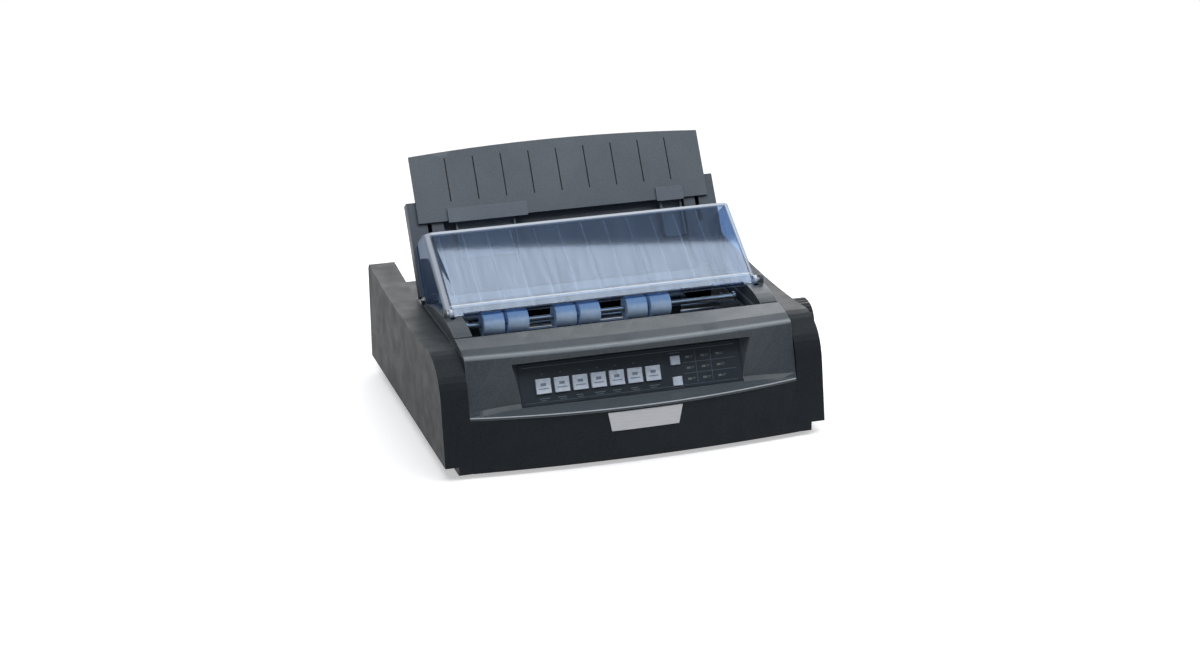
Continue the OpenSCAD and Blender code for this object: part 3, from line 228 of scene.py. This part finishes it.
floor_half = 9
floor_glow_share = 0.45
floor_white_from, floor_white_to = 0.45, 1.1
floor_dull = (0.3, 0.31, 0.33)
floor_shade = Shade("pale_floor")
floor_path = floor_shade.add("ShaderNodeLightPath")
floor_seen = floor_shade.math("MAXIMUM", floor_path.outputs["Is Camera Ray"],
                              floor_shade.math("MAXIMUM", floor_path.outputs["Is Glossy Ray"],
                                               floor_path.outputs["Is Transmission Ray"]))
floor_pale = floor_shade.mix(floor_shade.noise(3.0), (0.86, 0.86, 0.865), (0.89, 0.89, 0.895))
floor_shade.colour(floor_shade.mix(floor_seen, floor_dull, floor_pale))
floor_shade.link(floor_shade.math("MULTIPLY", floor_seen, floor_glow_share),
                 floor_shade.surface.inputs["Emission Strength"])
floor_shade.surface.inputs["Roughness"].default_value = 0.8
floor_shade.surface.inputs["Specular IOR Level"].default_value = 0.1
floor_shade.surface.inputs["Emission Color"].default_value = (1, 1, 1, 1)
floor_reach = floor_shade.add("ShaderNodeVectorMath", operation="LENGTH")
floor_shade.link(floor_shade.where, floor_reach.inputs[0])
floor_glow = floor_shade.add("ShaderNodeEmission")
floor_blend = floor_shade.add("ShaderNodeMixShader")
floor_far = floor_shade.span(floor_reach.outputs["Value"],
                             floor_white_from, floor_white_to, 0.0, 1.0)
floor_shade.link(floor_shade.math("MULTIPLY", floor_seen, floor_far), floor_blend.inputs[0])
floor_shade.link(floor_shade.surface.outputs[0], floor_blend.inputs[1])
floor_shade.link(floor_glow.outputs[0], floor_blend.inputs[2])
floor_shade.link(floor_blend.outputs[0], floor_shade.output.inputs["Surface"])
floor = mesh_piece("floor",
                   [(-floor_half, -floor_half, 0), (floor_half, -floor_half, 0),
                    (floor_half, floor_half, 0), (-floor_half, floor_half, 0)],
                   [(0, 1, 2, 3)])
floor.data.materials.append(floor_shade.material)

# Lower case: an open tray with vents and screw bosses, moulded in charcoal plastic.
# Four rubber feet are pressed into its corners.
weld_reach = 0.00001


def dress(material, *names, bevel=0.0, angle=40.0):
    """Gives CAD nodes a material and, where bevel is set, softly broken edges."""
    for name in names:
        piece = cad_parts[name]
        piece.data.materials.clear()
        piece.data.materials.append(material)
        if bevel:
            weld = piece.modifiers.new("weld", "WELD")
            weld.merge_threshold = weld_reach
            soft = piece.modifiers.new("soft_edges", "BEVEL")
            soft.width = bevel
            soft.segments = 2
            soft.limit_method = "ANGLE"
            soft.angle_limit = math.radians(angle)
            soft.harden_normals = True


def moulded(name, dark, light, worn, rough, grain=1500.0, depth=0.00006, edge_wear_and_sheen=0.0006,
            shine=0.4):
    """Moulded plastic: faint clouds of colour, fine spark-eroded grain, lighter edges from wear,
    which where the band is wide also serve as a painted highlight.
    """
    shade = Shade(name)
    cloud = shade.noise(14.0, detail=5.0, rough=0.6)
    speck = shade.noise(grain * 0.6, detail=2.0)
    base = shade.ramp(cloud, [(0.3, dark), (0.7, light)])
    base = shade.mix(shade.span(speck, 0.35, 0.75, 0.0, 0.18), base, worn)
    base = shade.mix(shade.math("MULTIPLY", shade.edges(edge_wear_and_sheen), 0.5), base, worn)
    shade.colour(base)
    patches = shade.noise(60.0, detail=4.0)
    shade.roughness(shade.span(patches, 0.3, 0.7, rough - 0.05, rough + 0.06))
    shade.surface.inputs["Specular IOR Level"].default_value = shine
    shade.bump(shade.noise(grain, detail=2.0), strength=0.25, distance=depth)
    return shade


tray_shade = moulded("charcoal_tray", tone("#212428"), tone("#2a2d32"), tone("#41454b"),
                     rough=0.5)
dress(tray_shade.material, "lower_case", bevel=0.0004)
foot_shade = Shade("rubber_foot")
foot_shade.colour(foot_shade.mix(foot_shade.noise(260.0), tone("#151516"), tone("#2a2a2b")))
foot_shade.roughness(foot_shade.span(foot_shade.noise(90.0), 0.3, 0.7, 0.72, 0.9))
foot_shade.bump(foot_shade.noise(2400.0), strength=0.4, distance=0.00008)
dress(foot_shade.material, "rubber_feet", bevel=0.0004)


# Case screws: four plated steel screws, driven up from below through the tray into the
# bosses of the upper case.
def metal(name, dark, light, rough, along, worn=None, scale=900.0):
    """Metal with drawn or rolled lines along one axis and small stains."""
    shade = Shade(name)
    size = [1.0, 1.0, 1.0]
    size["xyz".index(along)] = 0.03
    lines = shade.noise(scale, detail=4.0, rough=0.6, where=shade.stretch(size))
    base = shade.ramp(lines, [(0.3, dark), (0.7, light)])
    stain = shade.span(shade.noise(45.0, detail=5.0, rough=0.65), 0.52, 0.8, 0.0, 0.5)
    base = shade.mix(stain, base, worn or dark)
    shade.colour(base)
    shade.surface.inputs["Metallic"].default_value = 1.0
    shade.roughness(shade.span(lines, 0.2, 0.8, rough - 0.07, rough + 0.09))
    shade.bump(lines, strength=0.15, distance=0.00003)
    return shade


screw_shade = metal("plated_screw", tone("#8f8d86"), tone("#c2c0b8"), rough=0.35, along="z")
dress(screw_shade.material, "case_screws", bevel=0.0002)

# Upper case: side cheeks with rolled fronts, apron, rear deck and back wall.
# Charcoal moulded plastic with a fine grain, screwed to the lower case from below.
case_shade = moulded("charcoal_case", tone("#25292d"), tone("#2a2f33"), tone("#4b535a"),
                     rough=0.5, shine=0.16)
dress(case_shade.material, "upper_case", bevel=0.0007)

# Name plate: a bare pale plate, glued on the apron under the lip.
# Thin lacquered metal, so its gloss runs in fine lines along the case.
plate_shade = Shade("pale_plate")
plate_lines = plate_shade.noise(1300.0, where=plate_shade.stretch((0.04, 1.0, 1.0)))
plate_shade.colour(plate_shade.mix(plate_lines, tone("#c9cacc"), tone("#e9eaec")))
plate_shade.surface.inputs["Metallic"].default_value = 0.25
plate_shade.roughness(plate_shade.span(plate_lines, 0.3, 0.7, 0.3, 0.42))
plate_shade.bump(plate_lines, strength=0.1, distance=0.00003)
dress(plate_shade.material, "name_plate", bevel=0.0002)

# Front cover and side rails: lip, recessed face, crease and the arched rails of the
# paper opening. Grey satin plastic, clipped between the cheeks.
# Its wide light edge band is partly edge wear and partly a painted highlight along its rounded
# edges.
cover_shade = moulded("grey_cover", tone("#3d454b"), tone("#444c52"), tone("#89929a"),
                      rough=0.4, edge_wear_and_sheen=0.0011, shine=0.42)
# Painted highlights: a light band along the crease and a thin light line on the lip's front edge,
# where these rounded edges catch the soft boxes.
crease_foot, crease_top = 0.1148, 0.1168
lip_foot, lip_top = 0.0601, 0.0608
cover_height = cover_shade.along((0, 0, 0), (0, 0, 1))
cover_face = cover_shade.surface.inputs["Base Color"].links[0].from_socket
cover_crease_highlight = cover_shade.math(
    "MULTIPLY", cover_shade.above(cover_height, crease_foot, 0.0008),
    cover_shade.span(cover_height, crease_top, crease_top + 0.001, 0.45, 0.0))
cover_lip_highlight = cover_shade.math(
    "MULTIPLY", cover_shade.above(cover_height, lip_foot, 0.0001),
    cover_shade.span(cover_height, lip_top, lip_top + 0.00017, 0.9, 0.0))
cover_painted_highlight = cover_shade.math("MAXIMUM", cover_crease_highlight, cover_lip_highlight)
cover_shade.colour(cover_shade.mix(cover_painted_highlight, cover_face, tone("#b9c1c8")))
dress(cover_shade.material, "front_cover", bevel=0.0009, angle=28.0)
dress(cover_shade.material, "side_rails", bevel=0.0005)

# Control panel: dark slate overlay on a plastic housing that sits in the recess.
# Print marks without letters stand under the keys and beside the lamps.
panel_shade = moulded("slate_overlay", tone("#2c343b"), tone("#353d45"), tone("#525b64"),
                      rough=0.38, grain=3000.0, depth=0.00002)
dress(panel_shade.material, "control_panel", bevel=0.0003)
lamp_shade = Shade("lamp_lens")
lamp_shade.colour(lamp_shade.mix(lamp_shade.cells(1100.0), tone("#5c6864"), tone("#8b9994")))
lamp_shade.surface.inputs["Roughness"].default_value = 0.22
lamp_shade.surface.inputs["Subsurface Weight"].default_value = 0.3
lamp_shade.surface.inputs["Subsurface Scale"].default_value = 0.001
lamp_shade.bump(lamp_shade.cells(1100.0), strength=0.4, distance=0.00006)
dress(lamp_shade.material, "lamp_lenses")

mm = 0.001
case_middle = -0.010
case_front = -0.1725
panel_tilt = math.radians(65.5)
panel_base = Vector((case_middle, case_front + 0.026, 0.0623))
key_count = 7
first_key = -92
key_pitch = 19
slab_faces = ((4, 5, 6, 7), (0, 1, 5, 4), (1, 2, 6, 5), (2, 3, 7, 6), (3, 0, 4, 7), (3, 2, 1, 0))


def on_slope(base, tilt, u, v, out):
    """A point on a leaning face: case width, distance up the slope, distance outwards, in mm."""
    c, s = math.cos(tilt), math.sin(tilt)
    return base + Vector((u, v * c - out * s, v * s + out * c)) * mm


def slab(base, tilt, u, v, width, height, low, high):
    """The eight corners of a thin slab on a leaning face, its under side first."""
    outline = ((u, v), (u + width, v), (u + width, v + height), (u, v + height))
    return [on_slope(base, tilt, *corner, out) for out in (low, high) for corner in outline]


# Each mark: left end, lower edge, length and height in mm. First the two long rules.
print_marks = [(-112, 38.6, 222, 0.5), (-112, 3.2, 222, 0.35)]
for i in range(key_count):
    key_x = first_key + key_pitch * i
    print_marks += [(key_x - 5.5, 6.4, 11 - 2 * (i % 3), 0.8),
                    (key_x - 4, 4.6, 6 + (i % 2) * 2, 0.6),
                    (key_x - 1.0, 31.0, 2.0, 0.6)]
print_marks += [(54.5, 14.4, 55, 0.4), (54.5, 25.4, 55, 0.4),
                (68.0, 4.6, 0.4, 32), (84.0, 4.6, 0.4, 32),
                (40.5, 36.0, 12, 0.7), (40.5, 1.4, 12, 0.6)]
lamp_columns = (60, 76, 92)
lamp_rows = (9, 20, 31)
for column in lamp_columns:
    for row in lamp_rows:
        print_marks += [(column + 2.8, row + 0.3, 3.6, 0.6), (column + 2.8, row - 1.0, 2.4, 0.5)]
print_low, print_high = 0.005, 0.05
mark_verts = []
mark_faces = []
for mark in print_marks:
    mark_faces += [tuple(len(mark_verts) + corner for corner in face) for face in slab_faces]
    mark_verts += slab(panel_base, panel_tilt, *mark, print_low, print_high)
marks = mesh_piece("panel_marks", mark_verts, mark_faces)
mark_shade = Shade("panel_print")
mark_shade.colour(mark_shade.mix(mark_shade.noise(1800.0), tone("#56616b"), tone("#76828d")))
mark_shade.surface.inputs["Roughness"].default_value = 0.5
marks.data.materials.append(mark_shade.material)
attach(marks, "root")

# Keys: seven function keys and two small selector keys, dished caps in bluish white.
# Each is guided in its window and springs back on a rubber dome.
key_row = 19
half_pitch = key_pitch / 2 * mm


def key_plastic(name, legend):
    """Glossy cap plastic. A legend is a block and a line in the middle of each cap."""
    shade = Shade(name)
    cloud = shade.span(shade.noise(180.0, detail=4.0), 0.35, 0.7, 0.0, 1.0)
    cap = shade.mix(cloud, tone("#c6d3e6"), tone("#e2eaf6"))
    if legend:
        from_first = shade.along(on_slope(panel_base, panel_tilt, first_key, 0, 0), (1, 0, 0))
        from_middle = shade.math("WRAP", from_first, half_pitch)
        from_middle.node.inputs[2].default_value = -half_pitch
        across = shade.math("ABSOLUTE", from_middle)
        rise = shade.along(on_slope(panel_base, panel_tilt, 0, key_row, 0),
                           (0, math.cos(panel_tilt), math.sin(panel_tilt)))
        block = shade.math("MULTIPLY", shade.span(across, 0.0026, 0.003, 1.0, 0.0),
                           shade.math("MULTIPLY", shade.above(rise, 0.0002, 0.0003),
                                      shade.span(rise, 0.0028, 0.0034, 1.0, 0.0)))
        line = shade.math("MULTIPLY", shade.span(across, 0.0048, 0.0052, 1.0, 0.0),
                          shade.math("MULTIPLY", shade.above(rise, -0.0031, 0.0002),
                                     shade.span(rise, -0.0023, -0.0019, 1.0, 0.0)))
        ink = shade.math("MULTIPLY", shade.math("MAXIMUM", block, line), 0.8)
        cap = shade.mix(ink, cap, tone("#5a6a80"))
    shade.colour(cap)
    shade.roughness(shade.span(shade.noise(400.0), 0.3, 0.7, 0.24, 0.36))
    shade.bump(shade.noise(2600.0), strength=0.15, distance=0.00003)
    return shade


dress(key_plastic("key_cap", legend=True).material,
      *[f"key_{i + 1}" for i in range(key_count)], bevel=0.0005)
dress(key_plastic("small_key_cap", legend=False).material, "mode_key", "pitch_key", bevel=0.0005)

# Access cover: a clear smoked-blue moulding with chamfered sides and inner ribs.
# It hangs on two pins in the side rails. Its edges, top rim and low lip are painted a milky
# near-white as a painted highlight.
hood_tilt = math.radians(32.5)
hood_start = (case_middle, -0.0435, 0.138)
hood_rim_up, hood_rim_side = 0.0955, 0.1605
hood_lip_low, hood_lip_high = 0.0004, 0.0026
hood_shade = Shade("smoked_clear")
hood_up = hood_shade.along(hood_start, (0, math.cos(hood_tilt), math.sin(hood_tilt)))
hood_out = hood_shade.along(hood_start, (0, -math.sin(hood_tilt), math.cos(hood_tilt)))
hood_side = hood_shade.math("ABSOLUTE", hood_shade.along(hood_start, (1, 0, 0)))
# Painted highlight: masks for the top rim, the sides and a band along the low lip, joined with the
# sharp edges and mixed towards milky near-white.
hood_on_face = hood_shade.above(hood_out, -0.006, 0.002)
hood_rim_highlight = hood_shade.math("MAXIMUM", hood_shade.above(hood_up, hood_rim_up, 0.001),
                           hood_shade.above(hood_side, hood_rim_side, 0.001))
hood_rim_highlight = hood_shade.math("MULTIPLY", hood_rim_highlight, hood_on_face)
hood_under_lip = hood_shade.math("SUBTRACT", 1.0, hood_shade.above(hood_up, hood_lip_high, 0.0005))
hood_lip_highlight = hood_shade.math("MULTIPLY", hood_shade.above(hood_up, hood_lip_low, 0.0004),
                           hood_under_lip)
hood_lip_highlight = hood_shade.math("MULTIPLY", hood_lip_highlight, hood_on_face)
hood_edge_highlight = hood_shade.math("MAXIMUM", hood_shade.edges(0.0007),
                            hood_shade.math("MAXIMUM", hood_rim_highlight, hood_lip_highlight))
hood_streak = hood_shade.noise(160.0, detail=4.0, rough=0.6,
                               where=hood_shade.stretch((1.0, 0.08, 0.08)))
hood_blue = hood_shade.mix(hood_streak, tone("#6d7f9e"), tone("#8c9fc0"))
hood_shade.colour(hood_shade.mix(hood_edge_highlight, hood_blue, tone("#e9f0fa")))
hood_shade.surface.inputs["Roughness"].default_value = 0.3
hood_shade.bump(hood_shade.noise(40.0, detail=2.0), strength=0.05, distance=0.0002)
hood_through = hood_shade.add("ShaderNodeBsdfTransparent")
hood_through.inputs["Color"].default_value = (0.55, 0.66, 0.80, 1)
hood_shine = hood_shade.add("ShaderNodeBsdfGlossy")
hood_shine.inputs["Color"].default_value = (0.68, 0.81, 1.0, 1)
hood_shine.inputs["Roughness"].default_value = 0.04
hood_inner = hood_shade.add("ShaderNodeNewGeometry").outputs["Backfacing"]
hood_outer = hood_shade.math("SUBTRACT", 1.0, hood_inner)
hood_gloss = hood_shade.span(hood_streak, 0.3, 0.7, 0.15, 0.21)
hood_clear = hood_shade.add("ShaderNodeMixShader")
hood_shade.link(hood_shade.math("MULTIPLY", hood_outer, hood_gloss), hood_clear.inputs[0])
hood_shade.link(hood_through.outputs[0], hood_clear.inputs[1])
hood_shade.link(hood_shine.outputs[0], hood_clear.inputs[2])
hood_blend = hood_shade.add("ShaderNodeMixShader")
hood_haze = hood_shade.span(hood_streak, 0.3, 0.7, 0.03, 0.07)
hood_highlight_share = hood_shade.math("MULTIPLY", hood_edge_highlight, 0.72)
hood_shade.link(hood_shade.math("MAXIMUM", hood_haze, hood_highlight_share), hood_blend.inputs[0])
hood_shade.link(hood_clear.outputs[0], hood_blend.inputs[1])
hood_shade.link(hood_shade.surface.outputs[0], hood_blend.inputs[2])
hood_shade.link(hood_blend.outputs[0], hood_shade.output.inputs["Surface"])
dress(hood_shade.material, "access_cover", bevel=0.0006)

# Paper separator: the recessed back plate that leans on the rails, with the sliding
# sheet support and its two guides. Slate grey plastic with a satin face.
separator_shade = moulded("slate_separator", tone("#454d57"), tone("#515963"), tone("#7d8792"),
                          rough=0.42)
dress(separator_shade.material, "paper_separator", bevel=0.0006)
separator_tilt = math.radians(58)
separator_base = Vector((case_middle, case_front + 0.222, 0.114))
support_shade = moulded("slate_support", tone("#4f5861"), tone("#5b646d"), tone("#8d97a1"),
                        rough=0.4)
# Painted shade: the floors of the grooves are coloured near-black.
groove_floor, groove_brim = 0.0021, 0.0030
support_out = support_shade.along(
    separator_base, (0, -math.sin(separator_tilt), math.cos(separator_tilt)))
support_groove_shade = support_shade.math(
    "MULTIPLY", support_shade.above(support_out, groove_floor, 0.0001),
    support_shade.span(support_out, groove_brim, groove_brim + 0.0002, 1.0, 0.0))
support_face = support_shade.surface.inputs["Base Color"].links[0].from_socket
support_shade.colour(support_shade.mix(support_groove_shade, support_face, tone("#14171b")))
dress(support_shade.material, "sheet_support", bevel=0.0003)
# Two dark sheets sit in the separator's slots as a painted shadow for the shade inside them.
slot_shadow_shade = Shade("painted_slot_shadow")
slot_shadow_shade.colour(slot_shadow_shade.mix(slot_shadow_shade.noise(900.0, detail=5.0),
                                 tone("#0f1013"), tone("#23262b")))
slot_shadow_shade.surface.inputs["Roughness"].default_value = 0.95
slot_shadow_shade.bump(slot_shadow_shade.noise(3000.0), strength=0.6, distance=0.0002)
slot_sheet_inner, slot_sheet_width = 142.5, 11.0
slot_sheet_foot, slot_sheet_length = 38, 65
slot_sheet_back, slot_sheet_front = -11.2, -10.4
for slot_sheet_name, slot_sheet_left in (("left_slot_shadow", -slot_sheet_inner - slot_sheet_width),
                             ("right_slot_shadow", slot_sheet_inner)):
    slot_sheet = mesh_piece(slot_sheet_name,
                      slab(separator_base, separator_tilt, slot_sheet_left, slot_sheet_foot,
                           slot_sheet_width, slot_sheet_length, slot_sheet_back, slot_sheet_front),
                      slab_faces)
    slot_sheet.data.materials.append(slot_shadow_shade.material)
    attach(slot_sheet, "paper_separator")
guide_shade = moulded("slate_guide", tone("#58616b"), tone("#656e79"), tone("#98a2ad"),
                      rough=0.38)
dress(guide_shade.material, "left_sheet_guide", "right_sheet_guide", bevel=0.0004)

# Platen: ground rubber on a steel shaft that turns in two bronze bushes.
# A fluted knob sits on its right end outside the case.
platen_shade = Shade("platen_rubber")
platen_lines = platen_shade.noise(1500.0, where=platen_shade.stretch((1.0, 0.15, 0.15)))
platen_shade.colour(platen_shade.mix(platen_lines, tone("#18202e"), tone("#27324a")))
platen_shade.roughness(platen_shade.span(platen_shade.noise(70.0), 0.3, 0.7, 0.55, 0.7))
platen_shade.bump(platen_lines, strength=0.3, distance=0.00005)
dress(platen_shade.material, "platen_roller", bevel=0.0004)
ground_shade = metal("ground_steel", tone("#a2a6a9"), tone("#d9dcde"), rough=0.2, along="x")
dress(ground_shade.material, "platen_shaft", "tractor_shaft", bevel=0.0002)
knob_shade = moulded("knob_plastic", tone("#24262a"), tone("#2e3135"), tone("#565b61"),
                     rough=0.4)
dress(knob_shade.material, "platen_knob", bevel=0.0004, angle=60.0)
bush_shade = metal("sintered_bronze", tone("#8e7440"), tone("#c3a566"),
                   rough=0.42, along="x", scale=1500.0)
dress(bush_shade.material, "platen_bushes", bevel=0.0002)

# Paper bail: a steel rod between two arms with three pairs of blue-grey rollers.
# It pivots on pins in the frames and rests a hair above the platen.
bail_shade = metal("bail_steel", tone("#8d9194"), tone("#c3c7c9"), rough=0.28, along="x")
dress(bail_shade.material, "bail", bevel=0.0002)
roller_shade = Shade("roller_rubber")
roller_shade.colour(roller_shade.mix(roller_shade.noise(220.0, detail=4.0),
                                     tone("#a9cdf5"), tone("#d3e6fc")))
roller_shade.roughness(roller_shade.span(roller_shade.noise(90.0), 0.3, 0.7, 0.42, 0.55))
roller_shade.bump(roller_shade.noise(1800.0), strength=0.25, distance=0.00004)
dress(roller_shade.material, "bail_rollers", bevel=0.0008)

# Carriage: slides on the round shaft and carries the finned head and the ribbon.
# Dark filled nylon, die-cast head body, glossy ribbon cartridge.
rod_shade = metal("oiled_steel", tone("#54595f"), tone("#777d84"),
                  rough=0.34, along="x", worn=tone("#3d4247"))
dress(rod_shade.material, "guide_rods", bevel=0.0002)
carriage_shade = moulded("carriage_plastic", tone("#25282b"), tone("#303337"), tone("#4d5257"),
                         rough=0.5)
dress(carriage_shade.material, "carriage", bevel=0.0004)
head_shade = moulded("head_casting", tone("#2f3235"), tone("#3e4246"), tone("#6c7176"),
                     rough=0.42, grain=900.0, depth=0.0001)
head_shade.surface.inputs["Metallic"].default_value = 0.5
dress(head_shade.material, "print_head", bevel=0.0003)
cartridge_shade = moulded("ribbon_plastic", tone("#151618"), tone("#1e2022"), tone("#3a3d40"),
                          rough=0.26)
dress(cartridge_shade.material, "ribbon_cartridge", bevel=0.0005)

# Carriage drive: a toothed belt over two pulleys, driven by a motor under the left one.
# Black rubber belt, pulleys of natural nylon, motors in dark steel cans.
belt_shade = Shade("belt_rubber")
belt_teeth = belt_shade.add("ShaderNodeTexWave", wave_type="BANDS", bands_direction="X")
belt_teeth.inputs["Scale"].default_value = 160.0
belt_shade.link(belt_shade.where, belt_teeth.inputs["Vector"])
belt_shade.colour(belt_shade.mix(belt_teeth.outputs["Fac"], tone("#161617"), tone("#2e2e30")))
belt_shade.surface.inputs["Roughness"].default_value = 0.7
belt_shade.bump(belt_teeth.outputs["Fac"], strength=0.5, distance=0.0003)
dress(belt_shade.material, "carriage_belt")
nylon_shade = Shade("natural_nylon")
nylon_shade.colour(nylon_shade.mix(nylon_shade.noise(120.0, detail=4.0),
                                   tone("#cfcbbd"), tone("#ebe8dd")))
nylon_shade.roughness(nylon_shade.span(nylon_shade.noise(300.0), 0.3, 0.7, 0.36, 0.5))
nylon_shade.surface.inputs["Subsurface Weight"].default_value = 0.1
nylon_shade.surface.inputs["Subsurface Scale"].default_value = 0.002
nylon_shade.bump(nylon_shade.noise(2000.0), strength=0.2, distance=0.00003)
dress(nylon_shade.material, "drive_pulley", "idler_pulley", bevel=0.0002)
motor_shade = metal("motor_can", tone("#3c3f42"), tone("#5b5f63"),
                    rough=0.45, along="z", worn=tone("#2a2c2e"))
dress(motor_shade.material, "space_motor", "feed_motor", bevel=0.0004)

# Feed gears: a train of nylon gears from the motor pinion to the platen and the
# tractor shaft, on pins of the left frame.
dress(nylon_shade.material, "platen_gear", "front_idler", "rear_idler", "tractor_gear")
pinion_shade = metal("turned_brass", tone("#a2803a"), tone("#d9b767"),
                     rough=0.26, along="x", scale=1400.0)
dress(pinion_shade.material, "motor_pinion")

# Tractors: two blocks that slide on the tractor shaft, each with a pin wheel and a door.
# Charcoal plastic blocks, grey doors, pin wheels of natural nylon.
tractor_shade = moulded("tractor_plastic", tone("#2c3033"), tone("#383c40"), tone("#5b6066"),
                        rough=0.44)
dress(tractor_shade.material, "left_tractor", "right_tractor", bevel=0.0004)
door_shade = moulded("door_plastic", tone("#474c51"), tone("#555a60"), tone("#7f858c"),
                     rough=0.4)
dress(door_shade.material, "left_door", "right_door", bevel=0.0003)
dress(nylon_shade.material, "left_sprocket", "right_sprocket", bevel=0.0002)

# Chassis: zinc plated side frames and the cross plate with the carriage rail.
# Stamped sheet steel that stands on the floor of the lower case.
zinc_shade = metal("zinc_plate", tone("#85898a"), tone("#b5b8b7"),
                   rough=0.36, along="z", worn=tone("#6f7474"), scale=500.0)
zinc_spangle = zinc_shade.cells(120.0)
zinc_shade.roughness(zinc_shade.span(zinc_spangle, 0.0, 0.8, 0.28, 0.5))
dress(zinc_shade.material, "left_frame", "right_frame", "base_plate", bevel=0.0002)

# Levers: the paper release at the left rear and the head gap lever on the carriage shaft.
# Moulded plastic on pins, the release in grey and the gap lever in blue.
lever_shade = moulded("lever_plastic", tone("#5f666e"), tone("#6f767e"), tone("#98a0a8"),
                      rough=0.38)
dress(lever_shade.material, "paper_lever", bevel=0.0004)
gap_shade = moulded("blue_lever", tone("#2f5c7c"), tone("#3d6f92"), tone("#7fa8c4"), rough=0.36)
dress(gap_shade.material, "gap_lever", bevel=0.0004)

# Electrics: logic board, power supply, mains inlet with its rocker, data port.
# Green coated board, folded steel box, black plastic inlet, plated port shell.
board_shade = Shade("solder_mask")
board_tracks = board_shade.add("ShaderNodeTexBrick")
board_tracks.inputs["Scale"].default_value = 90.0
board_tracks.inputs["Mortar Size"].default_value = 0.03
board_shade.link(board_shade.where, board_tracks.inputs["Vector"])
board_shade.colour(board_shade.mix(board_tracks.outputs["Fac"], tone("#1f4f31"), tone("#35734a")))
board_shade.surface.inputs["Roughness"].default_value = 0.3
board_shade.bump(board_tracks.outputs["Fac"], strength=0.3, distance=0.00004)
dress(board_shade.material, "main_board", bevel=0.0003)
supply_shade = metal("supply_steel", tone("#7b7f81"), tone("#a7abac"),
                     rough=0.4, along="y", worn=tone("#61666a"))
dress(supply_shade.material, "power_supply", bevel=0.0003)
inlet_shade = moulded("inlet_plastic", tone("#17181a"), tone("#202224"), tone("#3b3e41"),
                      rough=0.4)
dress(inlet_shade.material, "ac_inlet", "power_switch", bevel=0.0003)
port_shade = metal("port_shell", tone("#9a9da0"), tone("#cfd2d4"), rough=0.3, along="x")
dress(port_shade.material, "data_connector", bevel=0.0003)
